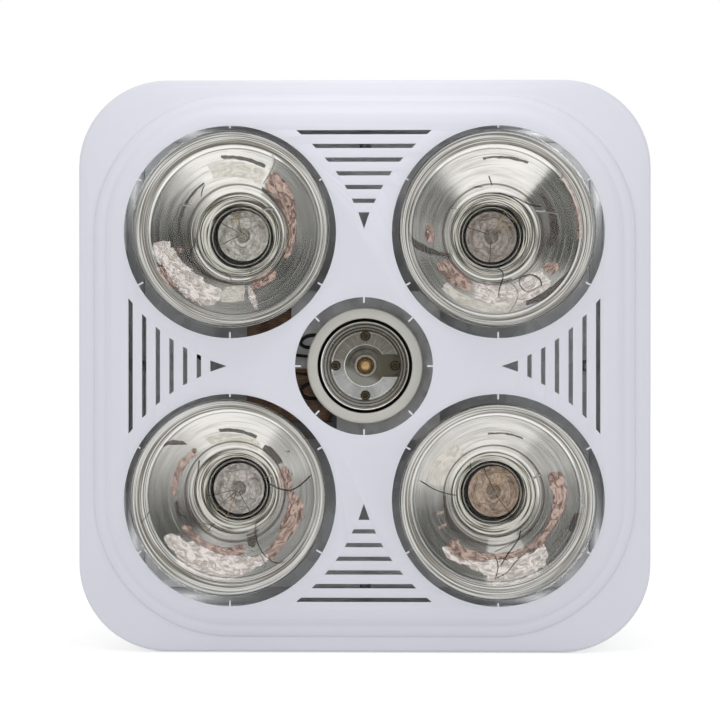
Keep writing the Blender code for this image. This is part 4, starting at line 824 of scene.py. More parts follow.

# what each silvered bowl shows, painted into its colour as reflections. "shade" is how bright the
# painted reflection in the silver is round the lamp; the painted reflection patches are given as
# (degrees, inner edge, outer edge) along bands, as shares of the radius. a patch is shut at a
# place that is given as its angle alone, and before its first place and after its last one
shut = (0.95, 0.05)    # the inner edge above the outer one
paintedReflectionLooks = {    # two tints of each painted reflection patch, its ragged edge, softness and strength
    "pale": ((0.96, 0.90, 0.86), (0.50, 0.44, 0.41), 0.10, 0.006, 0.95),
    "pink": ((0.60, 0.44, 0.38), (0.14, 0.085, 0.065), 0.12, 0.008, 0.92),
    "cream": ((0.80, 0.77, 0.70), (0.56, 0.53, 0.46), 0.04, 0.016, 0.85),
    "dark": ((0.05, 0.045, 0.04), (0.10, 0.085, 0.075), 0.03, 0.008, 0.9),
}
bowlLooks = {
    1: {
        "shade": [(0, .21), (4, .22), (25, .22), (51, .3), (60, .5), (63, .9), (84, .93),
         (107, .96), (120, .88), (129, .72), (138, .5), (150, .33), (163, .2), (177, .12),
         (186, .07), (196, .1), (234, .16), (257, .3), (275, .25), (297, .15), (325, .1),
         (360, .21)],
        "edge": [(0, .15), (2, .15), (53, .3), (61, 1), (150, .9), (188, .6), (213, .25),
         (360, .15)],
        "inner": [(0, .71), (10, .9), (115, .9), (124, .3), (192, .2), (202, .9), (280, .9),
         (292, .3), (339, .3), (360, .71)],
        "cream": [61.9, (64.5, .566, .719), (112.6, .622, .762), 113.5, 255.6, (256, .568, .744),
         (277.5, .525, .707), 279.7],
        "pale": [185.3, (185.7, .717, .808), (188.6, .702, .85), (192.4, .69, .867),
         (201.7, .662, .858), (204.1, .65, .818), (208.7, .636, .814), (212.6, .621, .834),
         (224, .601, .829), (234.1, .596, .837), (246.4, .603, .83), (253.5, .608, .799),
         (256.1, .63, .713), 257.6, 280.3, (280.7, .545, .689), (284.5, .597, .83),
         (287.4, .707, .84), 287.8],
        "pink": [(0, .509, .616), (5.7, .512, .619), (27.1, .526, .685), (42.3, .541, .739),
         (57.2, .565, .75), (61.1, .59, .725), 61.5, 192.3, (192.7, .612, .653),
         (199.2, .608, .644), 202.2, (204.4, .819, .906), (223, .818, .897), 223.4, 284,
         (284.4, .505, .618), (287.7, .489, .626), (309.7, .471, .607), (315.7, .493, .588),
         317.2, 330.7, (332.2, .541, .588), (340.4, .514, .602), (354.3, .506, .612),
         (360, .509, .616)],
        "dark": [(0, .429, .475), (8.3, .438, .484), (64.1, .532, .566), 64.5, 64.9,
         (65.3, .732, .77), (101, .773, .808), 102.3, 120, (122.2, .623, .645), (180.6, .6, .631),
         (185.7, .586, .613), (331.7, .4, .443), (360, .429, .475)],
        "wires": [(0.45, [(124, .629), (128.6, .604), (134, .571)]), (0.55, [(184.1, .482),
         (192.4, .494), (198.7, .541), (204.9, .561)]), (0.35, [(251.2, .449), (256.4, .462),
         (261.3, .5)]), (0.45, [(286.4, .441), (292.4, .333), (307.8, .277)])],
        "glints": [(0.55, [(62.7, .61), (60.4, .727), (60.3, .842), (63.4, .896)]),
         (1.2, [(36.8, .471), (41.7, .441), (48.5, .392)]), (0.8, [(152.9, .667), (151, .633),
         (149.1, .594)])],
    },
    2: {
        "shade": [(0, .14), (3, .15), (22, .14), (41, .12), (48, .4), (54, .85), (78, .95),
         (97, .93), (121, .85), (129, .7), (138, .35), (151, .2), (166, .22), (176, .3),
         (192, .3), (210, .2), (241, .35), (257, .5), (289, .52), (316, .5), (334, .18),
         (348, .1), (360, .14)],
        "edge": [(0, .32), (1, .3), (45, .5), (55, 1), (131, 1), (138, .5), (178, .4), (214, .3),
         (240, .7), (332, .8), (360, .32)],
        "inner": [(0, .47), (6, .6), (33, .9), (104, 1), (141, .8), (166, .3), (200, .2),
         (212, 1), (277, 1), (338, .8), (352, .3), (360, .47)],
        "cream": [224.3, (225.6, .713, .812), (251, .726, .824), (263.5, .741, .838),
         (287.3, .755, .848), 289.6],
        "pale": [249.8, (250.6, .56, .693), (254, .522, .71), (264.9, .523, .741),
         (278.6, .55, .769), (304.5, .571, .795), (316.7, .575, .804), (320.5, .619, .777),
         321.1],
        "pink": [(0, .847, .899), (1.6, .849, .902), (38.5, .859, .913), 42.6, 171.3,
         (172, .644, .717), (188.7, .619, .716), 190, 207.1, (207.7, .563, .684),
         (214.2, .526, .693), (235.2, .517, .69), (248.5, .559, .67), 249.3, 321.6,
         (322.7, .641, .72), (325.7, .605, .766), (330.6, .615, .765), (333.4, .662, .729), 333.9,
         353.3, (353.9, .837, .891), (360, .847, .899)],
        "dark": [(0, .59, .669), (4.4, .594, .677), (27.5, .609, .672), (41.2, .622, .649), 41.7,
         63.3, (64.4, .778, .804), (100.5, .761, .783), 101.2, 175.4, (179.1, .92, .96),
         (184.5, .835, .918), (190.1, .748, .863), (195.5, .647, .766), (200.9, .545, .654),
         (204.5, .474, .575), (208.5, .449, .506), (210.8, .459, .493), (292.9, .492, .524),
         (293.3, .787, .828), (302.4, .79, .861), (320.4, .817, .88), (332.1, .853, .89), 334.9,
         343.6, (346.7, .577, .644), (360, .59, .669)],
        "wires": [(0.6, [(29.8, .591), (35.7, .53), (43.7, .496), (58.8, .477), (82, .46)]),
         (0.7, [(94.8, .617), (93.2, .572), (91.6, .536)]), (0.4, [(102.3, .526), (113.3, .553)]),
         (0.5, [(273.9, .682), (276, .596), (283.9, .471), (284.8, .404), (278, .355)]),
         (0.7, [(311.5, .751), (314.4, .693), (312.8, .61), (305.4, .565), (299.1, .564)]),
         (0.4, [(299.1, .564), (296.7, .635), (299.6, .722), (311.5, .751)])],
        "glints": [(0.45, [(279.6, .855), (286.5, .775), (291.9, .674), (289, .531)]),
         (1.3, [(23.2, .616), (25.5, .571), (28.6, .536)]), (0.8, [(150.6, .54), (144.7, .485)]),
         (0.9, [(38.8, .872), (39.5, .885), (40.1, .897)]), (0.35, [(16.8, .694), (24.5, .58)])],
    },
    3: {
        "shade": [(0, .3), (6, .3), (26, .5), (40, .45), (54, .7), (60, .92), (106, .95),
         (121, .88), (134, .65), (145, .55), (160, .42), (174, .3), (188, .2), (202, .11),
         (212, .07), (225, .2), (248, .45), (271, .45), (285, .38), (304, .3), (334, .28),
         (355, .3), (360, .3)],
        "edge": [(0, .31), (51, .5), (59, .95), (143, .8), (172, .5), (201, .4), (215, .6),
         (259, .5), (297, .3), (358, .3), (360, .31)],
        "inner": [(0, .31), (19, .5), (26, 1), (68, .9), (123, .8), (142, .3), (169, .5),
         (203, .5), (254, .3), (289, .1), (348, .2), (360, .31)],
        "cream": [59.3, (62, .443, .592), (118, .527, .654), 118.4],
        "pale": [211.2, (211.7, .781, .798), (213.5, .748, .852), (220, .715, .848),
         (225.4, .698, .831), (231.8, .654, .895), (238.3, .66, .902), (249.2, .637, .895),
         (258.4, .639, .888), (270.6, .654, .865), (279, .68, .83), (290, .70, .80),
         (300, .72, .78), 301],
        "pink": [(0, .522, .631), (4, .48, .562), (5.7, .406, .617), (17.7, .39, .621),
         (27.9, .423, .617), 29.8, 126.9, (131.2, .57, .619), (148.5, .588, .644),
         (167.2, .596, .654), (183.5, .604, .648), 184.9, 211.7, (213, .603, .672),
         (237, .6, .643), (259, .592, .654), (279.8, .566, .658), 285.9, 297.4,
         (298.9, .713, .807), (313.6, .644, .752), (328.5, .59, .756), (344.7, .588, .782),
         (355, .574, .718), (360, .522, .631)],
        "dark": [31, (31.8, .527, .604), (51.9, .522, .617), (57.7, .537, .596), 58.2, 66.1,
         (67.4, .603, .649), (103, .653, .69), 103.7, 131.9, (132.9, .684, .761),
         (137.4, .758, .824), (141.4, .819, .875), (145.5, .887, .909), 149.2, 184.9,
         (188.1, .599, .63), (207, .61, .649), 207.4, 283.1, (283.5, .492, .519),
         (283.9, .474, .584), (290.6, .472, .621), (295.1, .461, .555), (301.5, .423, .451), 313],
        "wires": [(0.6, [(13.7, .86), (7.1, .721), (2.3, .61), (2.6, .505), (7.2, .401),
         (12.1, .317), (19.2, .289)]), (0.5, [(139, .52), (149.1, .478), (158.1, .455)]),
         (0.35, [(196.6, .952), (194.1, .908), (191.5, .868)]), (0.45, [(200.8, .643),
         (206.5, .593)]), (0.4, [(309.3, .895), (302.5, .843), (297.4, .733), (295.1, .639),
         (294.8, .539), (297, .463), (303.8, .409)])],
        "glints": [(1.2, [(36.8, .744), (37.8, .697)]), (1.2, [(23.3, .425), (23.3, .33),
         (25.2, .264)]), (0.5, [(295.3, .83), (294.5, .737), (290, .665), (283.2, .627)])],
        "gold": [(0.35, [(216.7, .543), (227.7, .512), (240.6, .518)]), (0.35, [(223, .5),
         (231.9, .472), (237.1, .434)]), (0.35, [(234.5, .539), (235.2, .487), (236.6, .443)])],
    },
    4: {
        "shade": [(0, .23), (16, .3), (30, .45), (50, .5), (61, .75), (87, .8), (120, .78),
         (129, .7), (153, .6), (166, .55), (174, .4), (186, .25), (200, .12), (219, .1),
         (248, .16), (261, .2), (265, .6), (286, .7), (299, .6), (303, .25), (319, .15),
         (338, .16), (357, .22), (360, .23)],
        "edge": [(0, .32), (23, .6), (30, 1), (107, 1), (115, .7), (161, .6), (202, .4),
         (263, .3), (358, .3), (360, .32)],
        "inner": [(0, .81), (2, .9), (132, .9), (156, .5), (185, .2), (225, .5), (265, .3),
         (318, .2), (353, .5), (360, .81)],
        "cream": [125.2, (126.4, .5, .705), (136.6, .479, .74), (162, .509, .745),
         (169.4, .55, .712), 169.8],
        "pale": [221.9, (222.3, .725, .758), (226, .723, .782), (233.6, .74, .795),
         (239.6, .735, .781), (247.7, .714, .759), (255.4, .683, .782), (264, .662, .804),
         (264.7, .635, .883), (281.6, .635, .891), (299.2, .683, .872), (302, .701, .847),
         (306.7, .701, .86), (312.3, .7, .804), (316.7, .699, .717), 317.9],
        "pink": [(0, .616, .743), (4.9, .609, .744), (14.5, .598, .745), (23.2, .602, .718), 26.5,
         193, (195.5, .553, .65), (199.3, .558, .675), 199.7, 205.1, (207.5, .568, .674),
         (212.3, .58, .689), 212.7, 222.9, (224.4, .634, .721), (230.4, .612, .731),
         (245, .618, .72), (259.4, .612, .685), (267, .609, .654), (300.3, .621, .683),
         (318.3, .619, .69), (336.5, .619, .691), (355.5, .623, .742), (360, .616, .743)],
        "dark": [62.8, (63.7, .669, .69), (97.8, .65, .672), 98.9, 175.9, (180.4, .494, .532),
         (224.9, .545, .584), 225.3, 334.8, (336.3, .815, .85), (343.2, .803, .899),
         (350.2, .827, .904), 350.6],
        "wires": [(0.55, [(167.1, .808), (173.4, .64), (178.7, .491), (181.4, .415)]),
         (0.5, [(125.5, .429), (134.3, .339)]), (0.45, [(269.6, .841), (272.4, .729),
         (270.6, .638)]), (0.5, [(275.3, .721), (281.4, .644), (288.9, .593), (298.7, .541),
         (307.8, .488)]), (0.35, [(270.6, .833), (278.5, .792), (285.4, .733), (291.1, .7),
         (297.5, .683)]), (0.35, [(270.2, .601), (275.9, .578), (288.3, .556), (304.7, .541)])],
        "glints": [(1.0, [(355.4, .903), (357.5, .91)]), (1.0, [(24.6, .549), (22.7, .47)]),
         (0.7, [(196.1, .642), (197.3, .601)]), (0.7, [(208.7, .656), (210, .617)])],
    },
}


def paintedReflectionEdge(points, side):
    # one edge of a painted reflection patch, all the way round
    points = [p if isinstance(p, tuple) else (p, *shut) for p in points]
    if points[0][0] > 0:
        points.insert(0, (0, *shut))
    if points[-1][0] < 360:
        points.append((360, *shut))
    return [(point[0], point[side]) for point in points]


def silverMaterial(number):
    looks = bowlLooks[number]
    material, tree, shader = newMaterial(f"silveredBowl{number}", Metallic=0.7,
                                         Specular_IOR_Level=0.12)
    where = objectPlace(tree)
    polar = useGroup(tree, polarGroup, Vector=where)
    angle = polar["Angle"]
    share = tree.math("DIVIDE", polar["Radius"], lamp["radius"])
    edgeNoise = tree.noise(where, 230.0, 5.0, 0.66)
    crackle = tree.noise(where, 120.0, 6.0, 0.62, 2.2)
    tintNoise = tree.mapRange(crackle, 0.43, 0.60)
    paintedCrack = lineAt(tree, tree.noise(where, 120.0, 5.0, 0.62, 1.8), 0.5, 0.003, 0.014)
    wobble = tree.times(tree.less(tree.noise(where, 150.0, 4.0, 0.6), 0.5), 0.016)
    turn = tree.math("FRACT", tree.math("ADD", tree.math("DIVIDE", angle, tau), wobble))
    broad, lines = (useGroup(tree, ringGroup, Share=share, Angle=angle, Count=count, Drift=drift,
                             Seed=number * seed)["Level"]
                    for count, drift, seed in ((26.0, 1.4, 7.0), (95.0, 0.8, 5.0)))
    # the silver's brightness round the lamp, with its streaks, is a painted reflection
    shade = tree.curve(turn, looks["shade"])
    swing = tree.math("MULTIPLY_ADD", shade, 0.8, 0.22)
    streak = tree.times(tree.less(broad, 0.5), swing)
    base = tree.mixColor(tree.math("ADD", shade, streak), (0.022, 0.024, 0.018),
                         (0.95, 0.935, 0.89))
    # thin dark and bright lines that follow the turning, painted as reflections
    base = tree.laid(base, tree.mapRange(lines, 0.62, 0.68), 0.3, (0.95, 0.95, 0.92))
    base = tree.laid(base, tree.mapRange(lines, 0.40, 0.34), 0.5, (0.04, 0.038, 0.03))
    # painted reflection patches laid on the silver, each in two tints
    for name, (light, deep, ragged, soft, strength) in paintedReflectionLooks.items():
        low, high = (tree.curve(turn, paintedReflectionEdge(looks[name], side), "VECTOR") for side in (1, 2))
        mask = useGroup(tree, bandGroup, Share=share, Low=low, High=high, Noise=edgeNoise,
                        Ragged=ragged, Soft=soft)["Mask"]
        if name in ("pale", "pink"):
            # a painted brown edge round each reflection patch, and painted cracks through it
            rim = tree.times(mask, tree.less(1.0, mask))
            base = tree.laid(base, rim, 2.8, (0.10, 0.05, 0.035))
        tint = tree.mixColor(tintNoise, light, deep)
        if name != "dark":
            tint = tree.laid(tint, paintedCrack, 0.25 if name == "cream" else 0.75, (0.09, 0.05, 0.035))
        base = tree.laid(base, tree.mapRange(mask, 0.35, 0.75), strength, tint)

    def ring(at, half, strength, tint, under):
        return tree.laid(under, lineAt(tree, share, at, half * 0.35, half), strength, tint)

    # painted reflection rings: dark lines, and bright painted highlights whose strength round the
    # lamp follows "edge" and "inner"
    base = ring(0.855, 0.007, 0.55, (0.06, 0.055, 0.045), base)
    base = ring(0.874, 0.013, tree.curve(turn, looks["edge"]), (1.0, 1.0, 0.98), base)
    base = ring(0.530, 0.014, 0.75, (0.08, 0.055, 0.04), base)
    base = ring(0.500, 0.007, 0.5, (0.70, 0.68, 0.62), base)
    base = ring(0.474, 0.014, tree.curve(turn, looks["inner"]), (1.0, 0.99, 0.95), base)
    # the pale shoulder outside the silver and the stepped rings round the neck, with light and
    # dark rings painted on them as reflections
    shoulder = tree.mapRange(share, 0.885, 0.893)
    band = tree.mixColor(tree.mapRange(lines, 0.40, 0.60), (0.22, 0.205, 0.17),
                         (0.88, 0.875, 0.85))
    base = tree.mixColor(shoulder, base, band)
    base = ring(0.899, 0.007, 0.75, (0.10, 0.08, 0.055), base)
    base = ring(0.930, 0.006, 0.65, (0.19, 0.155, 0.115), base)
    base = ring(0.958, 0.004, 0.5, (0.98, 0.98, 0.96), base)
    neck = tree.mapRange(share, 0.455, 0.465, 1.0, 0.0)
    steps = tree.mixColor(tree.mapRange(lines, 0.42, 0.58), (0.085, 0.078, 0.058),
                          (0.80, 0.79, 0.72))
    base = tree.mixColor(neck, base, steps)
    # a dark ring of painted shade where the neck opens
    base = ring(0.447, 0.008, 0.8, (0.04, 0.036, 0.03), base)
    tree.dress(shader, Base_Color=base, Normal=useGroup(tree, leanGroup, Lean=3.0)["Normal"],
               Roughness=tree.mapRange(shoulder, 0.0, 1.0, 0.2, 0.35, False))
    return material


def bowlOutline(inset):
    # the bulb's outer line from the rim to the neck, moved in by the glass
    depth = neckEnd - lampWidest
    line = [Vector((lamp["radius"] * share, lampWidest + depth * at, 0.0))
            for at, share in lamp["bowlShares"]]
    smooth = curveThrough(line[:-1], 6) + [line[-1]]
    result = []
    for index, point in enumerate(smooth):
        run = smooth[min(index + 1, len(smooth) - 1)] - smooth[max(index - 1, 0)]
        normal = Vector((run.y, -run.x, 0.0)).normalized()
        if normal.x < 0:
            normal = -normal
        moved = point - normal * inset
        result.append((max(0.0, moved.x), moved.y))
    return result


discLooks = {    # tint of the glass disc in each neck
    1: ((0.97, 0.95, 0.88), (0.36, 0.31, 0.25)),
    2: ((0.62, 0.55, 0.50), (0.24, 0.19, 0.14)),
    3: ((0.95, 0.88, 0.84), (0.34, 0.28, 0.24)),
    4: ((0.80, 0.58, 0.44), (0.26, 0.18, 0.12)),
}


def discMaterial(number):
    # crackled glass over the stem's foot, with rings and dark specks
    light, dark = discLooks[number]
    material, tree, shader = newMaterial(f"neckDisc{number}", Metallic=0.2, Coat_Weight=0.6,
                                         Coat_Roughness=0.05)
    where = objectPlace(tree)
    polar = useGroup(tree, polarGroup, Vector=where)
    radius, angle = polar["Radius"], polar["Angle"]
    cloud = tree.noise(where, 210.0, 5.0, 0.6, 1.2)
    rings = tree.noise(tree.combine(tree.times(radius, 1500.0), tree.times(angle, 0.8),
                                    float(number)), 1.0, 2.0, 0.5)
    crack = tree.node("ShaderNodeTexVoronoi", feature="DISTANCE_TO_EDGE")
    tree.link(where, crack.inputs["Vector"])
    crack.inputs["Scale"].default_value = 190.0
    base = tree.mixColor(tree.mapRange(cloud, 0.38, 0.66), light, dark)
    base = tree.laid(base, tree.mapRange(rings, 0.45, 0.7), 0.5,
                     tuple(min(1.0, c * 1.3) for c in light))
    line = tree.mapRange(crack.outputs["Distance"], 0.0, 0.06, 1.0, 0.0)
    base = tree.laid(base, line, 0.55, dark)
    tree.dress(shader, Base_Color=base, Roughness=tree.mapRange(cloud, 0.3, 0.7, 0.12, 0.35),
               Normal=tree.bump(cloud, 0.7, 0.0008))
    return material


throatMaterial = metalMaterial("lampThroat", (0.34, 0.33, 0.29), 0.22, (0.3, 6.0, 0.3), 500.0)
# a near-black disc that stands for the shade inside each lamp's neck
neckShadeMaterial = plasticMaterial("paintedNeckShade", (0.02, 0.018, 0.014), 0.5)
tungsten = metalMaterial("tungsten", (0.55, 0.53, 0.48), 0.3)
blackWire = metalMaterial("supportWire", (0.06, 0.055, 0.05), 0.4)
paintedGlint = plasticMaterial("brightGlint", (0.95, 0.95, 0.92), 0.15)
goldWire = metalMaterial("leadWire", (0.72, 0.50, 0.20), 0.25)
neck = {    # radii, and depths from the throat's front or from the glass foot
    "throatDepth": 0.028, "throatLine": [(0.0203, 0.0), (0.0203, 0.012), (0.0188, 0.012),
                                         (0.0192, 0.003), (0.0195, 0.0)],
    "shadeDiscRadius": 0.0192, "shadeDiscFront": 0.010, "shadeDiscBack": 0.0108,
    "footDepth": 0.022, "footRadius": 0.0174, "footRise": 0.0026, "footRipple": 0.00025,
    "footEdge": [(0.0176, 0.0008), (0.0166, 0.0016), (0.0, 0.0016)],
    "stemLine": [(0.0, -0.0022), (0.0052, -0.0022), (0.0040, -0.006), (0.0030, -0.010),
                 (0.0028, -0.017), (0.0, -0.018)],
    "pinchFrom": 0.006, "pinchOver": 0.008, "pinchWider": 0.55, "pinchFlatter": 0.45,
    "stemTurn": 37.0,
}
wireLooks = {    # where the wires stand round each stem, in degrees, and how far out they reach
    1: {"supports": (148, 205), "leads": (98, 112), "ring": 0.0165},
    2: {"supports": (160, 262), "leads": (32, 62), "ring": 0.0185},
    3: {"supports": (190, 300), "leads": (222, 250), "ring": 0.0195},
    4: {"supports": (112, 305), "leads": (58, 80), "ring": 0.0175},
}
wireSizes = {
    "support": 0.00022, "supportFoot": (0.0015, 0.003), "supportTip": -0.004, "eye": 0.0009,
    "lead": 0.0003, "leadFoot": (0.0012, 0.002), "leadTip": -0.003,
    "filament": 0.00014, "filamentAt": -0.0035, "sag": 0.0015, "sagIn": 0.10,
    "coilRadius": 0.00042, "coilStep": tau / 5.2,
}


def outAt(degrees, reach=1.0, depth=0.0):
    turn = radians(degrees)
    return Vector((reach * cos(turn), depth, reach * sin(turn)))


def buildBulb(number, at):
    radius, dome, shoulder, glass = (lamp[key] for key in ("radius", "dome", "shoulder", "glass"))
    slope = asin((radius - shoulder) / (dome - shoulder))
    apex = lampWidest + (dome - shoulder) * cos(slope) - dome

    def frontLine(inset):
        # a shallow dome that runs into the rounded shoulder
        line = []
        for i in range(lamp["domeSteps"] + 1):
            turn = slope * i / lamp["domeSteps"]
            line.append(((dome - inset) * sin(turn),
                         apex + dome - (dome - inset) * cos(turn)))
        for i in range(1, 13):
            turn = slope + (pi / 2 - slope) * i / 12
            line.append((radius - shoulder + (shoulder - inset) * sin(turn),
                         lampWidest - (shoulder - inset) * cos(turn)))
        return line

    lip = lampWidest + 0.0006
    outline = (frontLine(0.0) + [(radius - glass * 0.05, lip), (radius - glass, lip)]
               + frontLine(glass)[::-1])
    turned(f"lamp{number}Glass", outline, clearGlass, at, lamp["segments"], False,
           (f"heat_lamp_{number}_bulb",), 50.0)
    seat = bowlOutline(glass * 0.8)
    first, last = lamp["ridges"]
    ridges = []
    for r, y in seat:
        share = (r - first) / (last - first)
        ripple = lamp["ridgeHeight"] * sin(share * tau * lamp["ridgeCount"])
        ridges.append((r + (ripple if 0.0 < share < 1.0 else 0.0), y))
    turned(f"lamp{number}Bowl", bowlOutline(0.0) + ridges[::-1], silverMaterial(number), at,
           lamp["segments"], sharpAngle=60.0)

    # dark, bright and gilt strokes that stand on the silver; the bright strokes are painted glints
    def onBowl(degrees, share, lift):
        reach = share * radius
        depth = seat[-2][1]
        for (r1, y1), (r2, y2) in zip(seat, seat[1:]):
            if r2 <= reach <= r1:
                depth = y1 + (y2 - y1) * (r1 - reach) / max(r1 - r2, 1e-9)
                break
        return outAt(degrees, reach - lift, depth - lift)

    for kind, material in (("wires", blackWire), ("glints", paintedGlint), ("gold", goldWire)):
        strokes = bmesh.new()
        for width, path in bowlLooks[number].get(kind, []):
            half = width * 0.0005
            tubeInto(strokes, curveThrough([onBowl(degrees, share, half + 0.0009)
                                            for degrees, share in path], 6), half, 8)
        if strokes.verts:
            place(f"lamp{number}{kind.capitalize()}", finishMesh(strokes, kind), material, at=at)


def buildNeck(number, at, within, foot):
    # throat ring, a near-black disc inside it as painted shade, and the glass foot of the stem
    throat = neckEnd - neck["throatDepth"]
    turned(f"lamp{number}Throat",
           softened([(r, throat + y) for r, y in neck["throatLine"]], 0.0003), throatMaterial,
           at, 80)
    wide, front, back = neck["shadeDiscRadius"], foot + neck["shadeDiscFront"], foot + neck["shadeDiscBack"]
    turned(f"lamp{number}NeckShadeDisc", [(0.0, front), (wide, front), (wide, back), (0.0, back)],
           neckShadeMaterial, within, 64, False)
    line = [(0.0, foot - neck["footRise"])]
    for i in range(1, 10):
        share = i / 9
        line.append((neck["footRadius"] * share,
                     foot - neck["footRise"] * cos(share * pi / 2)
                     + neck["footRipple"] * sin(share * tau * 2.5)))
    turned(f"lamp{number}Foot", line + [(r, foot + y) for r, y in neck["footEdge"]],
           discMaterial(number), within, 72, False)
    # the stem with its pinch
    builder = bmesh.new()
    spinInto(builder, [(r, foot + y) for r, y in neck["stemLine"]], 32)
    for vert in builder.verts:
        share = max(0.0, min(1.0, (foot - neck["pinchFrom"] - vert.co.y) / neck["pinchOver"]))
        vert.co.x *= 1.0 + neck["pinchWider"] * share
        vert.co.z *= 1.0 - neck["pinchFlatter"] * share
    bmesh.ops.transform(builder, matrix=turnY(neck["stemTurn"] * number), verts=builder.verts)
    place(f"lamp{number}Stem", finishMesh(builder, "stem"), stemGlass, at=within,
          stands=(f"heat_lamp_{number}_stem",))


def buildWires(number, within, top):
    look, ring = wireLooks[number], wireLooks[number]["ring"]
    wires, leads, filament = bmesh.new(), bmesh.new(), bmesh.new()
    eye = wireSizes["eye"]
    for degrees in look["supports"]:
        out = outAt(degrees)
        side = Vector((-out.z, 0.0, out.x))
        reach, rise = wireSizes["supportFoot"]
        start = outAt(degrees, reach, top + rise)
        tip = outAt(degrees, ring, top + wireSizes["supportTip"])
        path = curveThrough([start, start.lerp(tip, 0.4) + Vector((0, 0.0022, 0)),
                             start.lerp(tip, 0.8) + side * 0.0006, tip], 6)
        tubeInto(wires, path, wireSizes["support"], 6)
        loop = [tip + out * eye * cos(t) + Vector((0, eye, 0)) * sin(t)
                + side * 0.0004 * t / tau
                for t in [tau * i / 10 for i in range(11)]]
        tubeInto(wires, loop, wireSizes["support"], 6)
    place(f"lamp{number}Supports", finishMesh(wires, "supports"), blackWire, at=within)
    for degrees in look["leads"]:
        reach, rise = wireSizes["leadFoot"]
        start = outAt(degrees, reach, top + rise)
        tip = outAt(degrees, ring, top + wireSizes["leadTip"])
        tubeInto(leads, curveThrough([start, start.lerp(tip, 0.3) + Vector((0, -0.0045, 0)),
                                      start.lerp(tip, 0.75) + Vector((0, -0.003, 0)), tip], 8),
                 wireSizes["lead"], 8)
    place(f"lamp{number}Leads", finishMesh(leads, "leads"), goldWire, at=within)
    # the filament: a fine coil that sags between the tips of the two leads
    first, last = look["leads"]
    hang = []
    for i in range(7):
        sag = sin(i / 6 * pi)
        hang.append(outAt(first + (last - first) * i / 6, ring * (1 - wireSizes["sagIn"] * sag),
                          top + wireSizes["filamentAt"] - wireSizes["sag"] * sag))
    line = curveThrough(hang, 14)
    coil = []
    up = Vector((0, 1, 0))
    for index, point in enumerate(line):
        run = line[min(index + 1, len(line) - 1)] - line[max(index - 1, 0)]
        other = run.normalized().cross(up).normalized()
        turn = wireSizes["coilStep"] * (index + 1)
        coil.append(point + (up * cos(turn) + other * sin(turn))
                    * wireSizes["coilRadius"])
    tubeInto(filament, coil, wireSizes["filament"], 4)
    place(f"lamp{number}Filament", finishMesh(filament, "filament"), tungsten, at=within)


for number in lampSides:
    x, z = lampAxis(number)
    leanX, leanZ = lamp["lean"].get(number, (0.0, 0.0))
    at, within = (x, 0.0, z), (x + leanX, 0.0, z + leanZ)
    foot = neckEnd - neck["footDepth"]
    buildBulb(number, at)
    buildNeck(number, at, within, foot)
    buildWires(number, within, foot + neck["stemLine"][-1][1])
    print("lamp", number, "ready")


# centre lampholder

holderLow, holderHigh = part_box("light_holder_body")
insertLow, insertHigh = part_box("light_holder_insert")
shellLow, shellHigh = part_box("light_holder_shell")
contactLow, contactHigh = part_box("light_centre_contact")
holder = {
    "ring": 0.0381, "bore": 0.0311, "back": 0.033, "rimHeight": 0.009, "floor": 0.006,
    "pitch": 0.0066, "threadDepth": 0.0007, "shellWall": 0.0006, "shellMouth": 0.0283,
    "shellTaper": 0.0048, "shellFlare": 0.0007, "shellSeat": 0.0222,
    "insert": 0.0262, "recess": 0.0137, "recessDepth": 0.0034, "notch": 0.015,
    "screwCircle": 0.0199, "screw": 0.0031, "eyeletHole": 0.0016,
    "contact": 0.0050, "contactDome": 0.0024, "washer": (0.0056, 0.0076),
    "paintedRingLight": ((0.0271, 0.03, 0.8), (0.0263, 1.0, 0.7), (0.0252, 0.04, 0.85),
                    (0.0244, 0.95, 0.6), (0.0235, 0.03, 0.8)),    # radius, shade, strength
    "motorWires": [[(-0.0330, 0.0500, 0.0205), (-0.0385, 0.0485, 0.0200),
                    (-0.0420, 0.0475, 0.0180), (-0.0435, 0.0470, 0.0150),
                    (-0.0405, 0.0480, 0.0125), (-0.0330, 0.0500, 0.0120)],
                   [(-0.0330, 0.0480, -0.0110), (-0.0390, 0.0475, -0.0125),
                    (-0.0425, 0.0470, -0.0150), (-0.0430, 0.0475, -0.0185),
                    (-0.0395, 0.0485, -0.0215), (-0.0330, 0.0500, -0.0225)]],
    "motorWire": 0.0012,
}


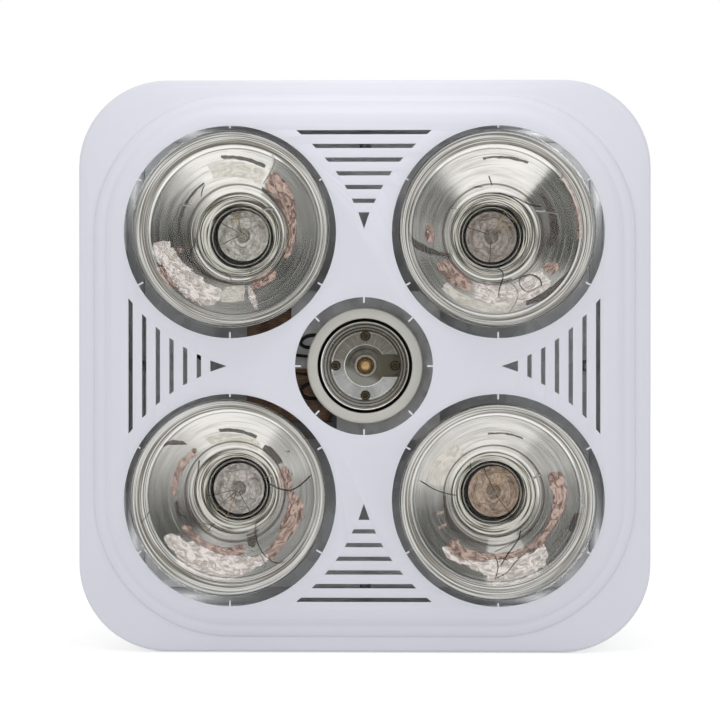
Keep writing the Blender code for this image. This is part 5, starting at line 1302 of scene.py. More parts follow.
def plateMaterial():
    # satin plate with painted light: dull and dark above, bright below, with a painted sheen that
    # turns round its middle
    material, tree, shader = newMaterial("satinPlateWithPaintedLight", Metallic=0.8)
    polar = useGroup(tree, polarGroup, Vector=objectPlace(tree))
    radius, angle = polar["Radius"], polar["Angle"]
    cosine, sine = tree.math("COSINE", angle), tree.math("SINE", angle)
    fan = tree.noise(tree.combine(cosine, sine, 1.0), 1.6, 2.0, 0.5)
    fineFan = tree.noise(tree.combine(cosine, sine, tree.times(radius, 3.0)), 34.0, 2.0, 0.5)
    blot = tree.noise(objectPlace(tree), 240.0, 4.0, 0.6)
    low = tree.mapRange(sideways(tree, angle, 268.0), -0.35, 0.45)
    base = tree.mixColor(low, (0.145, 0.134, 0.114), (0.41, 0.415, 0.405))
    base = tree.laid(base, tree.mapRange(fan, 0.40, 0.60), 0.35, (0.14, 0.13, 0.11))
    base = tree.laid(base, tree.mapRange(fineFan, 0.45, 0.7), 0.13, (0.80, 0.80, 0.78))
    base = tree.laid(base, tree.mapRange(blot, 0.5, 0.75), 0.3, (0.13, 0.12, 0.10))
    # painted highlights along the edges of the recess and the shell's seat, brighter towards the
    # lower left
    for edge, strength in ((holder["recess"] + 0.0002, 0.8), (holder["shellSeat"], 0.7)):
        line = tree.times(lineAt(tree, radius, edge, 0.0001, 0.0004), strength)
        lit = tree.mapRange(sideways(tree, angle, 225.0), -0.6, 0.3, 0.35, 1.0)
        base = tree.laid(base, line, lit, (0.95, 0.95, 0.90))
    tree.dress(shader, Base_Color=base, Roughness=tree.mapRange(blot, 0.3, 0.7, 0.26, 0.38),
               Normal=tree.bump(fineFan, 0.25, 0.00002))
    return material


def recessMaterial():
    # floor of the recess: a paler grey crescent below as painted light, olive brown in the notch,
    # and a dark arc towards the upper left
    material, tree, shader = newMaterial("recessFloor", Roughness=0.4, Metallic=0.3)
    where = objectPlace(tree)
    polar = useGroup(tree, polarGroup, Vector=where)
    radius, angle = polar["Radius"], polar["Angle"]
    crescent = tree.mapRange(tree.times(sideways(tree, angle, 248.0), radius), 0.0035, 0.0085)
    cloud = tree.mapRange(tree.noise(where, 160.0, 4.0, 0.6), 0.35, 0.65)
    dull = tree.mixColor(cloud, (0.17, 0.155, 0.125), (0.10, 0.09, 0.07))
    base = tree.mixColor(crescent, dull, (0.36, 0.37, 0.33))
    inNotch = tree.mapRange(tree.times(sideways(tree, angle, 0.0), radius), 0.006, 0.012)
    base = tree.mixColor(inNotch, base, (0.10, 0.088, 0.052))
    arc = tree.times(lineAt(tree, radius, 0.0112, 0.0004, 0.0011),
                     tree.mapRange(sideways(tree, angle, 110.0), 0.1, 0.7))
    tree.dress(shader, Base_Color=tree.laid(base, arc, 0.7, (0.03, 0.028, 0.022)))
    return material


def shellMaterial():
    # plated thread with painted light: bright below and to the left, greyer above
    material, tree, shader = newMaterial("rolledShell", Metallic=0.6)
    where = objectPlace(tree)
    polar = useGroup(tree, polarGroup, Vector=where)
    angle = polar["Angle"]
    lit = tree.mapRange(sideways(tree, angle, 232.0), -0.5, 0.75)
    blot = tree.mapRange(tree.noise(where, 150.0, 4.0, 0.6), 0.4, 0.7)
    base = tree.mixColor(lit, (0.44, 0.43, 0.39), (0.97, 0.97, 0.94))
    base = tree.laid(base, blot, 0.08, (0.24, 0.22, 0.18))
    # painted shade in the valleys of the thread and a painted highlight on the crest
    along = tree.less(polar["Depth"], shellLow.y)
    wave = tree.math("SINE", tree.less(tree.times(along, tau / holder["pitch"]), angle))
    behind = tree.mapRange(along, 0.0008, 0.0022)
    valley = tree.times(tree.mapRange(wave, 0.45, 0.95), behind)
    base = tree.laid(base, valley, 0.8, (0.10, 0.095, 0.08))
    crest = tree.times(tree.mapRange(wave, -0.72, -0.96), behind)
    base = tree.laid(base, crest, 0.7, (1.0, 1.0, 0.97))
    # the rolled rings as painted shade and painted highlights, dark and bright in turn from the
    # mouth inward
    for reach, tint, strength in holder["paintedRingLight"]:
        line = lineAt(tree, polar["Radius"], reach, 0.0001, 0.0005)
        base = tree.laid(base, line, strength, (tint, tint * 0.98, tint * 0.92))
    tree.dress(shader, Base_Color=base,
               Roughness=tree.mapRange(blot, 0.0, 1.0, 0.14, 0.3, False))
    return material


shellMetal = shellMaterial()
plateMetal = plateMaterial()
recessMetal = recessMaterial()
eyeletMetal = metalMaterial("brownEyelet", (0.23, 0.195, 0.14), 0.35)
washerMetal = metalMaterial("dullWasher", (0.27, 0.25, 0.22), 0.35)
domeBrass = metalMaterial("oldBrass", (0.44, 0.29, 0.135), 0.2, metallic=0.85)
paintedGapShade = plasticMaterial("paintedGapShade", (0.035, 0.031, 0.026), 0.6)
eyeletDark = metalMaterial("eyeletHole", (0.07, 0.052, 0.03), 0.45)


def repaint(mesh, material, picked):
    # a second material on the faces that picked() names
    mesh.materials.append(material)
    for face in mesh.polygons:
        if picked(face):
            face.material_index = 1


def reachOf(face):
    return hypot(face.center.x, face.center.z)


def buildPorcelain():
    front, back = holderLow.y, holderHigh.y
    rim, floor = front + holder["rimHeight"], back - holder["floor"]
    outline = [(holder["back"], back), (holder["back"], rim), (holder["ring"], rim - 0.0008),
               (holder["ring"], front), (holder["bore"], front), (holder["bore"], floor),
               (0.0, floor), (0.0, back)]
    rounded = softened(outline[:6], 0.0011, False, 4) + outline[6:]
    piece = turned("porcelainHolder", rounded + [outline[0]], porcelain, segments=128,
                   closed=False, stands=("light_holder_body",))
    # the bore round the shell is painted dark as shade
    repaint(piece.data, paintedGapShade, lambda face: (reachOf(face) < holder["bore"] + 0.0003
                                                and front + 0.0012 < face.center.y < back - 0.001))


def buildScrewShell():
    # a rolled thread: the wall's radius follows the helix and narrows towards the plate
    front, back = shellLow.y, shellHigh.y
    rows, columns = 96, 120
    builder = bmesh.new()
    grids = []
    for wall in (0.0, holder["shellWall"]):
        grid = []
        for row in range(rows + 1):
            share = row / rows
            depth = front + (back - front) * share
            fade = min(1.0, share * 6.0, (1 - share) * 6.0)
            flare = max(0.0, 1.0 - share * 9.0)
            plain = (holder["shellMouth"] - holder["shellTaper"] * share
                     + holder["shellFlare"] * flare * flare - wall)
            line = []
            for column in range(columns):
                angle = tau * column / columns
                phase = (depth - front) / holder["pitch"] * tau - angle
                radius = plain + holder["threadDepth"] * sin(phase) * fade
                line.append(builder.verts.new((radius * cos(angle), depth,
                                               radius * sin(angle))))
            grid.append(line)
        grids.append(grid)
        for one, two in zip(grid, grid[1:]):
            bandInto(builder, one, two)
    for row in (0, rows):
        bandInto(builder, grids[0][row], grids[1][row])
    place("screwShell", finishMesh(builder, "screwShell", 60.0), shellMetal,
          stands=("light_holder_shell",))


def buildInsert():
    front, back = insertLow.y, insertHigh.y
    floor = front + holder["recessDepth"]
    builder, notch, seats = bmesh.new(), bmesh.new(), bmesh.new()
    spinInto(builder, [(holder["insert"], back), (holder["insert"], front),
                       (holder["recess"], front), (holder["recess"], floor), (0.0, floor),
                       (0.0, back)], 112)
    boxInto(notch, (0.0, front - 0.002, -holder["notch"] / 2),
            (holder["insert"] + 0.002, floor, holder["notch"] / 2))
    for index, (x, z) in enumerate(circleLine(holder["screwCircle"], 4)):
        level = floor if index == 0 else front
        cylinderInto(seats, holder["screw"] + 0.0004, (x, level - 0.002, z),
                     (x, level + 0.0014, z), 40)
    mesh = combined(finishMesh(builder, "insertBlank"), (notch, seats), (), 0.0002)
    place("contactPlate", mesh, plateMetal, stands=("light_holder_insert",))
    repaint(mesh, recessMetal, lambda face: (face.center.y > floor - 0.0006
                                             and face.normal.y < -0.5))


def buildEyelets():
    outer, hole = holder["screw"] * 0.97, holder["eyeletHole"]
    for index in range(1, 5):
        node = f"light_holder_screw_{index}"
        low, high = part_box(node)
        at = ((low.x + high.x) / 2, 0.0, (low.z + high.z) / 2)
        top = low.y - 0.0002
        rim = [(outer, high.y), (outer, top + 0.0004), (outer - 0.0007, top - 0.0002),
               (hole + 0.0004, top - 0.0001), (hole, top + 0.0006), (hole, high.y)]
        eyelet = turned(f"plateEyelet{index}", softened(rim, 0.0003), eyeletMetal, at, 48, True,
                        (node,))
        # the outer rim of each eyelet is painted dark as shade in its seat
        repaint(eyelet.data, paintedGapShade, lambda face: reachOf(face) > outer - 0.0007)
        core, front = hole - 0.00002, high.y - 0.0003
        turned(f"plateEyeletCore{index}", [(0.0, front), (core, front), (core, high.y),
                                           (0.0, high.y)], eyeletDark, at, 32, False)


def buildContact():
    top, base = contactLow.y, contactHigh.y
    radius = holder["contact"]
    line = [(0.0, top)]
    for i in range(1, 13):
        turn = pi / 2 * i / 12
        line.append((radius * sin(turn), top + holder["contactDome"] * (1 - cos(turn))))
    line += [(radius, base - 0.0006), (radius + 0.0004, base - 0.0004), (radius + 0.0004, base),
             (0.0, base)]
    turned("centreContact", line, domeBrass, segments=64, closed=False,
           stands=("light_centre_contact",))
    inner, outer = holder["washer"]
    washer = [(outer, base - 0.0003), (outer, base - 0.0010), (inner, base - 0.0010),
              (inner, base - 0.0003)]
    turned("contactWasher", softened(washer, 0.0003), washerMetal, segments=64)


def buildMotorWires():
    # two black wires that loop out beside the holder
    builder = bmesh.new()
    for route in holder["motorWires"]:
        tubeInto(builder, curveThrough(route, 8), holder["motorWire"], 12)
    place("motorWires", finishMesh(builder, "motorWires"), blackSleeve)


buildPorcelain()
buildScrewShell()
buildMotorWires()
buildInsert()
buildEyelets()
buildContact()
print("lampholder ready")


# panel springs

springs = {
    "hook": 0.0025, "tail": 0.002, "coilRadius": 0.0033, "wireRadius": 0.00045, "curls": 14,
    "perCurl": 16, "tabEye": 0.062,
}


def buildSprings():
    hook, tail, coilRadius, tabEye = (springs[k] for k in ("hook", "tail", "coilRadius", "tabEye"))
    near = [Vector((-hook, lugEye + hook + tail, 0.0))]
    for i in range(11):
        turn = pi * i / 10
        near.append(Vector((-hook * cos(turn), lugEye + hook - hook * sin(turn), 0.0)))
    far = [Vector((p.x, lugEye + tabEye - p.y, 0.0)) for p in near]
    start, end = near[-1].y + 2 * tail, far[-1].y - 2 * tail
    points = list(near)
    total = springs["curls"] * springs["perCurl"]
    for i in range(total + 1):
        turn = tau * i / springs["perCurl"]
        points.append(Vector((coilRadius * cos(turn), start + (end - start) * i / total,
                              coilRadius * sin(turn))))
    points += far[::-1]
    for side, turn in enumerate(quarterTurns):
        builder = bmesh.new()
        tubeInto(builder, points, springs["wireRadius"], 8)
        move = Matrix.Translation(turn @ Vector((0.0, 0.0, springPlace))) @ turn
        bmesh.ops.transform(builder, matrix=move, verts=builder.verts)
        mesh = finishMesh(builder, f"panelSpring{side + 1}", 60.0)
        mesh.materials.append(spotSteel)
        spring = added(f"panelSpring{side + 1}", mesh)
        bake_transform(spring)
        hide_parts(f"fascia_spring_{side + 1}")


buildSprings()
print("springs ready")


# motor winding

coil = {
    "inset": 0.0004, "turns": 46, "perTurn": 5, "corner": 0.0065, "groove": 0.0004,
    "endRound": 0.0022, "endFrom": 0.86, "coreHalf": 0.0063, "coreRoom": 0.0003,
    "tapes": (-0.012, 0.014), "tapeHalf": 0.0045,
}


def buildWinding():
    low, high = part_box("motor_coil")
    stackLow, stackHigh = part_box("motor_stator")
    inset, corner = coil["inset"], coil["corner"]
    middleX, middleY = (low.x + high.x) / 2, (low.y + high.y) / 2
    halfX, halfY = (high.x - low.x) / 2 - inset, (high.y - low.y) / 2 - inset
    coreX, coreY = coil["coreHalf"], (stackHigh.y - stackLow.y) / 2 + coil["coreRoom"]
    builder, core, tape = bmesh.new(), bmesh.new(), bmesh.new()
    rows = []
    total = coil["turns"] * coil["perTurn"]
    for index in range(total + 1):
        z = low.z + inset + (high.z - low.z - 2 * inset) * index / total
        ridge = abs(sin(pi * index / coil["perTurn"]))
        past = max(0.0, abs(2 * index / total - 1) - coil["endFrom"]) / (1.0 - coil["endFrom"])
        shrink = coil["groove"] * (1 - ridge) + coil["endRound"] * past + corner
        ring = []
        for quarter, (side, up) in enumerate(quadrants):
            ring += circleLine(corner, 6, (middleX + side * (halfX - shrink),
                                           middleY + up * (halfY - shrink)), quarter * 90.0, 90.0)
        rows.append([builder.verts.new((x, y, z)) for x, y in ring])
    for one, two in zip(rows, rows[1:]):
        bandInto(builder, one, two)
    builder.faces.new(rows[0][::-1])
    builder.faces.new(rows[-1])
    boxInto(core, (middleX - coreX, middleY - coreY, low.z - 0.01),
            (middleX + coreX, middleY + coreY, high.z + 0.01))
    mesh = combined(finishMesh(builder, "windingBody", 50.0), (core,), sharpAngle=50.0)
    place("motorWinding", mesh, winding, stands=("motor_coil",))
    for z in coil["tapes"]:
        boxInto(tape, (low.x + 0.0001, low.y + 0.0001, z - coil["tapeHalf"]),
                (low.x + 0.004, low.y + 0.02, z + coil["tapeHalf"]), 0.0004)
    place("windingTape", finishMesh(tape, "tape"), tapeMaterial)


tapeMaterial = plasticMaterial("windingTape", (0.46, 0.28, 0.07), 0.45, 500.0, 0.00003, 0.12)
buildWinding()
print("winding ready")


# materials of the nodes that stay as they are

carried = {
    "chassis_plate": zincSheet, "blower_scroll": zincSheet, "impeller": greyPlastic,
    "damper_pin": platedSteel, "motor_stator": laminations, "motor_shaft": steelPin,
    "motor_rotor": spotSteel, "motor_bracket_rear": zincBracket,
    "motor_bracket_front": zincBracket, "bearing_rear": bronze, "bearing_front": bronze,
    "light_bracket": zincBracket, "terminal_block": porcelain, "thermal_cutout": blackPlastic,
    "chassis_grommet": rubberMaterial, "light_lead_live": brownSleeve,
    "light_lead_neutral": blackSleeve,
}
for number in lampSides:
    carried[f"heat_lamp_{number}_cap"] = platedSteel
    carried[f"heat_lamp_{number}_holder"] = porcelain
    carried[f"heat_lamp_{number}_yoke"] = zincBracket
for name, material in carried.items():
    mesh = nodes[name].data
    mesh.materials.clear()
    mesh.materials.append(material)
print("carried nodes dressed")


# housing, duct spigot, vanes and wiring entry

spigotLow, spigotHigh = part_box("duct_spigot")
ductY = (spigotLow.y + spigotHigh.y) / 2
pinLow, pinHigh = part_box("damper_pin")
damperZ = (pinLow.z + pinHigh.z) / 2
coverLow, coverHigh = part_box("terminal_cover")
coverMiddle = (coverLow.y + coverHigh.y) / 2
toDuct = Matrix.Rotation(radians(90.0), 4, "X")     # +Y of a turned shape becomes +Z
housing = {
    "sheet": 0.001, "corner": 0.006, "cornerSteps": 8, "flangeBend": 0.0012,
    "backRound": 0.0015, "ductHole": 0.0475, "screwHole": 0.0022, "screwShare": 0.8,
    "entryHole": 0.004, "entryBefore": 0.0157, "tab": (0.0592, 0.0692), "tabHalf": 0.0025,
    "tabHole": 0.0015,
}
fasteners = {
    "spigotCircle": 0.0518, "spigotRivet": (0.0019, 0.0009),
    "backRivets": ((-0.066, 0.066), (0.088, 0.03), (-0.066, -0.062), (0.062, -0.074)),
    "backRivet": (0.0026, 0.0010), "wallRivets": (-0.138, 0.138), "wallRivetDepth": 0.018,
    "wallRivet": (0.0022, 0.0008), "wallScrews": (-0.11, 0.11), "wallScrew": (0.0032, 0.0018),
    "footScrews": (-0.0075, 0.0075), "footScrew": (0.0026, 0.0015), "coverScrewIn": 0.009,
    "coverScrew": (0.0030, 0.0017), "beadFrom": 0.128, "beadTo": 0.098, "bead": 0.0032,
    "beadFlat": 0.42,
}


def buildHousing():
    wall, sheet, corner, bend = (housingWall, housing["sheet"], housing["corner"],
                                 housing["flangeBend"])
    turnIn, back = housing["backRound"], housingHigh.y - housing["backRound"]

    def square(radius):
        return roundedSquare(wall - corner, radius, housing["cornerSteps"])

    quarter = [pi / 2 * i / 4 for i in range(1, 5)]
    rings = [(square(corner + housingHigh.x - wall), 0.0), (square(corner + bend), 0.0)]
    rings += [(square(corner + bend - bend * sin(turn)), bend * (1 - cos(turn)))
              for turn in quarter]
    rings.append((square(corner), back))
    rings += [(square(corner - turnIn * (1 - cos(turn))), back + turnIn * sin(turn))
              for turn in quarter]
    solid = sheetShell("housingSkin", rings, 1, sheet)
    holes, tabs, eyes = bmesh.new(), bmesh.new(), bmesh.new()
    cylinderInto(holes, housing["ductHole"], (0.0, ductY, wall - 0.003),
                 (0.0, ductY, wall + 0.003), 96)
    across = housing["screwShare"] * wall
    for turn in quarterTurns:
        for along in (-across, across):
            cylinderInto(holes, housing["screwHole"], turn @ Vector((along, -0.003, ribPlace)),
                         turn @ Vector((along, 0.003, ribPlace)), 28)
    entryDepth = coverMiddle - housing["entryBefore"]
    cylinderInto(holes, housing["entryHole"], (-(wall + 0.003), entryDepth, 0.0),
                 (-(wall - 0.003), entryDepth, 0.0), 32)
    place("housingShell", combined(solid, (holes,), sharpAngle=32.0), zincSheet,
          stands=("housing",))
    # spring tabs bent in from the walls
    tabEye = springs["tabEye"]
    for turn in quarterTurns:
        boxInto(tabs, (-sheet / 2, housing["tab"][0], springPlace - housing["tabHalf"]),
                (sheet / 2, housing["tab"][1], wall - sheet - 0.00005), 0.0002, turn)
        cylinderInto(eyes, housing["tabHole"], turn @ Vector((-0.002, tabEye, springPlace)),
                     turn @ Vector((0.002, tabEye, springPlace)), 20)
    place("housingTabs", combined(meshFrom(tabs, "tabBlocks", True), (eyes,)), zincSheet)


def standing(at, direction):
    # +Y of a head becomes the direction in which it stands
    direction = Vector(direction).normalized()
    turn = Vector((0, 1, 0)).rotation_difference(direction).to_matrix().to_4x4()
    return Matrix.Translation(at) @ turn


def rivetInto(builder, at, direction, radius, height):
    # a domed rivet or screw head standing on a face
    line = [(0.0, height)]
    for i in range(1, 7):
        angle = pi / 2 * i / 6
        line.append((radius * sin(angle), height * cos(angle)))
    line += [(radius, -0.0002), (0.0, -0.0002)]
    spinInto(builder, line, 24, False, standing(at, direction))


def screwInto(builder, at, direction, radius, height):
    # a pan head with a cross in it
    line = [(0.0, height), (radius * 0.45, height), (radius * 0.8, height * 0.82),
            (radius * 0.97, height * 0.45), (radius, 0.0), (radius, -0.0002), (0.0, -0.0002)]
    head = bmesh.new()
    spinInto(head, line, 28, False)
    bars = []
    for angle in (45.0, 135.0):
        bars.append(bmesh.new())
        boxInto(bars[-1], (-radius * 0.55, height - 0.0008, -0.00045),
                (radius * 0.55, height + 0.001, 0.00045), 0.0, turnY(angle))
    made = combined(meshFrom(head, "head", True), bars)
    made.transform(standing(at, direction))
    builder.from_mesh(made)
    bpy.data.meshes.remove(made)


def buildFasteners():
    wall, top = housingWall, housingHigh.y
    rivets, screws, beads = bmesh.new(), bmesh.new(), bmesh.new()
    for x, y in circleLine(fasteners["spigotCircle"], 4, (0.0, ductY), 45.0):
        rivetInto(rivets, (x, y, wall + 0.0023), (0, 0, 1), *fasteners["spigotRivet"])
    # back of the housing: where the blower casing is riveted, and a row along each edge
    for x, z in fasteners["backRivets"]:
        rivetInto(rivets, (x, top, z), (0, 1, 0), *fasteners["backRivet"])
    for turn in quarterTurns:
        for along in fasteners["wallRivets"]:
            rivetInto(rivets, turn @ Vector((along, fasteners["wallRivetDepth"], wall)),
                      turn @ Vector((0, 0, 1)), *fasteners["wallRivet"])
    place("housingRivets", finishMesh(rivets, "rivets"), platedSteel)
    plateMiddle = (plateLow.y + plateHigh.y) / 2
    for turn in quarterTurns:
        for along in fasteners["wallScrews"]:
            screwInto(screws, turn @ Vector((along, plateMiddle + 0.004, wall)),
                      turn @ Vector((0, 0, 1)), *fasteners["wallScrew"])
    # bracket feet on the chassis plate, seen through the gaps
    footLow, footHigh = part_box("light_bracket")
    for z in (footLow.z + 0.0045, footHigh.z - 0.0045):
        for x in fasteners["footScrews"]:
            screwInto(screws, (x, plateLow.y - 0.0015, z), (0, -1, 0), *fasteners["footScrew"])
    place("housingScrews", finishMesh(screws, "screws"), platedSteel)
    # pressed beads that stiffen the back
    begin, end, level = fasteners["beadFrom"], fasteners["beadTo"], top - 0.0004
    for side in (-1, 1):
        for up in (-1, 1):
            outside = Vector((side * begin, level, up * begin))
            inside = Vector((side * end, level, up * end))
            tubeInto(beads, [outside.lerp(inside, i / 10) for i in range(11)],
                     fasteners["bead"], 12,
                     lambda t: 0.12 + 0.88 * min(1, 6 * t, 6 * (1 - t)))
    for vert in beads.verts:
        vert.co.y = level + (vert.co.y - level) * fasteners["beadFlat"]
    place("housingBeads", finishMesh(beads, "beads", 60.0), zincSheet)


spigot = {
    "outer": 0.0495, "bore": 0.0475, "flange": 0.0045, "flangeThickness": 0.002,
    "bead": 0.0007, "seat": 0.002, "seatTop": 0.017 - 0.0006 - 0.0003, "seatHeight": 0.0015,
    "pinHole": 0.00155, "gussets": 12, "gusset": (0.0006, 0.0028, 0.0052),
}
vanes = {
    "radius": 0.0466, "inner": 0.0029, "knuckle": 0.0026, "half": 0.0006,
    "left": (-1, ((-0.80, -0.44), (0.0, 0.36))), "right": (1, ((-0.40, -0.04), (0.40, 0.76))),
    "ribs": ((-0.021, 0.0375), (0.0, 0.043), (0.021, 0.0375)),
}


def buildSpigot():
    base, top, outer, bore = spigotLow.z, spigotHigh.z, spigot["outer"], spigot["bore"]
    seatTop = base + spigot["seatTop"]
    seatLow, wide = seatTop - spigot["seatHeight"], outer + spigot["flange"]
    outline = [(outer, top), (outer + spigot["bead"], top - 0.0035), (outer, top - 0.0070),
               (outer, base + 0.0021), (wide, base + spigot["flangeThickness"]), (wide, base),
               (bore, base), (bore, seatLow), (bore - spigot["seat"], seatLow),
               (bore - spigot["seat"], seatTop), (bore, seatTop), (bore, top)]
    builder, pins, ribs = bmesh.new(), bmesh.new(), bmesh.new()
    spinInto(builder, softened(outline, 0.0004, True, 2), 128, True, toDuct)
    cylinderInto(pins, spigot["pinHole"], (0.0, -0.06, damperZ), (0.0, 0.06, damperZ), 24)
    at = (0.0, ductY, 0.0)
    place("ductSpigot", combined(finishMesh(builder, "spigotBlank"), (pins,)), greyPlastic,
          at=at, stands=("duct_spigot",))
    # gussets round the outside
    half, wide, height = spigot["gusset"]
    low = base + spigot["flangeThickness"]
    for index in range(spigot["gussets"]):
        angle = 360.0 * index / spigot["gussets"] + 15
        boxInto(ribs, (outer - 0.0002, -half, low), (outer + wide, half, low + height), 0.0002,
                Matrix.Rotation(radians(angle), 4, "Z"))
    place("spigotGussets", finishMesh(ribs, "gussets"), greyPlastic, at=at)


def buildVane(name):
    at = (0.0, ductY, damperZ)
    radius, inner, half = vanes["radius"], vanes["inner"], vanes["half"]
    side, knuckles = vanes[name]
    start = asin(inner / radius)
    outline = [(side * radius * sin(a), radius * cos(a))
               for a in [start + (pi - 2 * start) * i / 48 for i in range(49)]]
    blank, barrels, webs, bore, ribs = (bmesh.new() for part in range(5))
    prismInto(blank, outline, lambda x, y: (x, y, -half), lambda x, y: (x, y, half))
    first, last = sorted((0.0, side * (inner + 0.0008)))
    for begin, end in knuckles:
        cylinderInto(barrels, vanes["knuckle"], (0, radius * begin, 0), (0, radius * end, 0), 32)
        boxInto(webs, (first, radius * begin, -half + 0.00015),
                (last, radius * end, half - 0.00015))
    cylinderInto(bore, spigot["pinHole"], (0, -radius, 0), (0, radius, 0), 24)
    mesh = combined(finishMesh(blank, "vaneBlank"), (bore,), (webs, barrels))
    place(f"damperVane{name.title()}", mesh, greyPlastic, f"damper_{name}_body", at,
          (f"damper_vane_{name}",))
    for y, end in vanes["ribs"]:
        first, last = sorted((side * 0.006, side * end))
        boxInto(ribs, (first, y - 0.0005, half - 0.0001), (last, y + 0.0005, half + 0.0009),
                0.0002)
    place(f"damperVane{name.title()}Ribs", finishMesh(ribs, "vaneRibs"), greyPlastic,
          f"damper_{name}_body", at)


gland = {
    "bore": 0.0040, "neck": 0.0062, "coverHole": 0.0065, "gap": 0.0003, "nutEnd": 0.0062,
    "nut": 0.0095, "nutChamfer": (0.0003, 0.0006), "domeLine": (0.0082, 0.0078, 0.0062),
}


def buildCover():
    low, high = coverLow, coverHigh
    wall = housing["sheet"]
    glandLow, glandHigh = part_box("cable_gland")
    gx, gy = (glandLow.x + glandHigh.x) / 2, (glandLow.y + glandHigh.y) / 2
    builder, inside, hole, screws = bmesh.new(), bmesh.new(), bmesh.new(), bmesh.new()
    boxInto(builder, low, high)
    rounded = [e for e in builder.edges if min(v.co.x for v in e.verts) < high.x - 0.001]
    bmesh.ops.bevel(builder, geom=rounded, offset=0.0009, segments=3, profile=0.5,
                    affect="EDGES")
    boxInto(inside, (low.x + wall, low.y + wall, low.z + wall),
            (high.x + 0.002, high.y - wall, high.z - wall))
    cylinderInto(hole, gland["coverHole"], (gx, gy, low.z - 0.002), (gx, gy, low.z + 0.003), 40)
    place("terminalCover", combined(finishMesh(builder, "coverBlank"), (inside, hole)),
          zincSheet, stands=("terminal_cover",))
    for z in (low.z + fasteners["coverScrewIn"], high.z - fasteners["coverScrewIn"]):
        screwInto(screws, (low.x, coverMiddle, z), (-1, 0, 0), *fasteners["coverScrew"])
    place("coverScrews", finishMesh(screws, "coverScrews"), platedSteel)
    # gland: neck, six-sided nut and clamping dome
    parts = bmesh.new()
    bore, neckSize, gap, size = gland["bore"], gland["neck"], gland["gap"], gland["nut"]
    hexTop, hexEnd, end = low.z - gap, low.z - gland["nutEnd"], glandLow.z
    spinInto(parts, softened([(neckSize, glandHigh.z), (neckSize, hexTop), (bore, hexTop),
                              (bore, glandHigh.z)], 0.0003), 56, True, toDuct)
    inward, fall = gland["nutChamfer"]
    rows = [[parts.verts.new((x, y, z)) for x, y in circleLine(radius, 6)]
            for z, radius in ((hexTop, size - inward), (hexTop - fall, size),
                              (hexEnd + fall, size), (hexEnd, size - inward),
                              (hexTop, bore), (hexEnd, bore))]
    for one, two in ((0, 1), (1, 2), (2, 3), (0, 4), (3, 5), (4, 5)):
        bandInto(parts, rows[one], rows[two])
    wide, shoulder, mouth = gland["domeLine"]
    spinInto(parts, softened([(wide, hexEnd - 0.0001), (shoulder, end + 0.0008), (mouth, end),
                              (bore, end), (bore, hexEnd - 0.0001)], 0.0005), 56, True, toDuct)
    place("cableGland", finishMesh(parts, "gland"), blackPlastic, at=(gx, gy, 0.0),
          stands=("cable_gland",))


buildHousing()
buildFasteners()
buildSpigot()
buildVane("left")
buildVane("right")
buildCover()
print("housing ready")


# floor, light and camera

studio = {
    "floorBelow": 0.0006, "floorSize": 12.0, "floorTint": (0.88, 0.88, 0.88), "floorGlow": 0.5,
    "skyLevel": 0.66, "lowLevel": 0.67, "eye": (0.025, -1.5, 0.008), "pixelsAcross": 571.5,
    "panelWidth": 0.370, "imageSize": 720, "sensor": 36.0, "aimDepth": -0.006,
    "rightOfCentre": 4.25, "belowCentre": 6.0,
    # place, target, size and power
    "topLight": ((0.0, -0.13, 0.33), (0.0, 0.0, 0.13), (0.22, 0.05), 0.14),
    "frontLight": ((0.0, -1.6, 0.05), (0.0, 0.0, 0.0), (0.5, 0.5), 3.2),
    "cornerPlace": (0.126, 0.032), "cornerSize": 0.008, "cornerPower": {1: 0.06, 2: 0.10,
                                                                        3: 0.06, 4: 0.06},
}


def seenRays(tree):
    # 1 for what the camera sees straight, by reflection or through glass
    rays = tree.node("ShaderNodeLightPath").outputs
    return tree.math("MAXIMUM", rays["Is Camera Ray"],
                     tree.math("MAXIMUM", rays["Is Glossy Ray"], rays["Is Transmission Ray"]))


def buildFloor():
    builder = bmesh.new()
    bmesh.ops.create_grid(builder, x_segments=1, y_segments=1, size=studio["floorSize"] / 2)
    floor = added("studioFloor", meshFrom(builder, "studioFloor"))
    floor.location = (0.0, 0.0, cadLow.z - studio["floorBelow"])
    material, tree, shader = newMaterial("floorPaper", Base_Color=studio["floorTint"],
                                         Roughness=0.9, Specular_IOR_Level=0.1,
                                         Emission_Color=(1.0, 1.0, 1.0))
    tree.dress(shader, Emission_Strength=tree.times(seenRays(tree), studio["floorGlow"]))
    floor.data.materials.append(material)


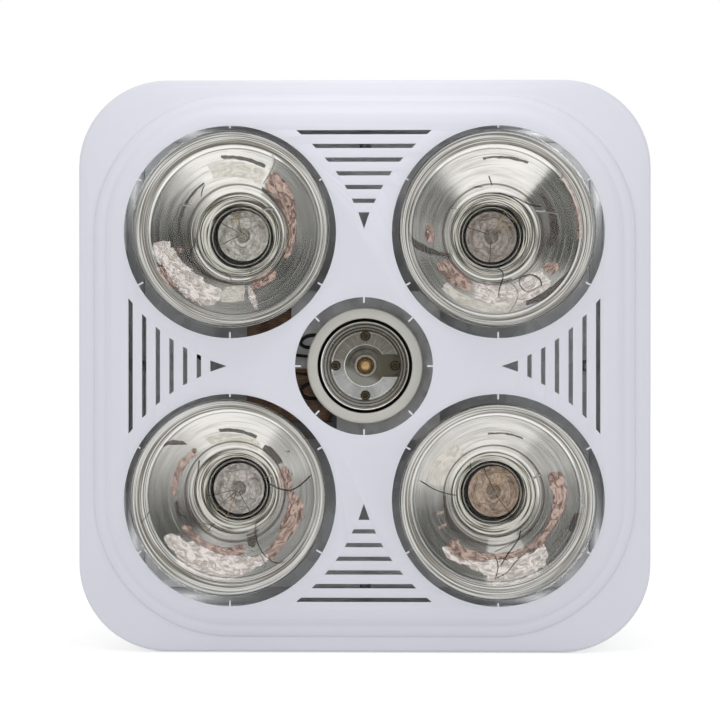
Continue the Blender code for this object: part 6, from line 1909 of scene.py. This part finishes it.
def buildWorld():
    world = bpy.data.worlds.new("studio")
    bpy.context.scene.world = world
    world.use_nodes = True
    tree = Tree(world.node_tree)
    background = world.node_tree.nodes["Background"]
    split = tree.node("ShaderNodeSeparateXYZ")
    tree.link(tree.node("ShaderNodeTexCoord").outputs["Generated"], split.inputs[0])
    level = tree.mapRange(split.outputs[2], -0.3, 0.6, studio["lowLevel"], studio["skyLevel"])
    background.inputs["Color"].default_value = (1.0, 1.0, 1.0, 1.0)
    tree.link(tree.math("MAXIMUM", seenRays(tree), level), background.inputs["Strength"])


def lightAt(name, kind, at, energy):
    data = bpy.data.lights.new(name, kind)
    data.energy = energy
    light = added(name, data)
    light.location = at
    light.visible_camera = light.visible_glossy = light.visible_transmission = False
    return light


def areaLight(name):
    at, target, size, energy = studio[name]
    light = lightAt(name, "AREA", at, energy)
    light.data.shape = "RECTANGLE"
    light.data.size, light.data.size_y = size
    light.rotation_mode = "QUATERNION"
    light.rotation_quaternion = (Vector(target) - Vector(at)).to_track_quat("-Z", "Y")


def cornerLights():
    # light that comes in round the lamps and through the panel, on the housing's walls
    across, depth = studio["cornerPlace"]
    for number, (side, up) in lampSides.items():
        light = lightAt(f"cornerLight{number}", "POINT", (side * across, depth, up * across),
                        studio["cornerPower"][number])
        light.data.shadow_soft_size = studio["cornerSize"]


def buildCamera():
    data = bpy.data.cameras.new("camera")
    camera = added("camera", data)
    perPixel = studio["panelWidth"] / studio["pixelsAcross"]
    eye = Vector(studio["eye"])
    target = Vector((-studio["rightOfCentre"] * perPixel, studio["aimDepth"],
                     studio["belowCentre"] * perPixel))
    camera.location = eye
    camera.rotation_mode = "QUATERNION"
    camera.rotation_quaternion = (target - eye).to_track_quat("-Z", "Y")
    data.sensor_width = studio["sensor"]
    data.lens = studio["sensor"] * (target - eye).length / (perPixel * studio["imageSize"])
    data.clip_start, data.clip_end = 0.05, 50.0
    bpy.context.scene.camera = camera


buildFloor()
buildWorld()
areaLight("topLight")
areaLight("frontLight")
cornerLights()
buildCamera()
bpy.context.scene.view_settings.view_transform = "Standard"
print("studio ready")
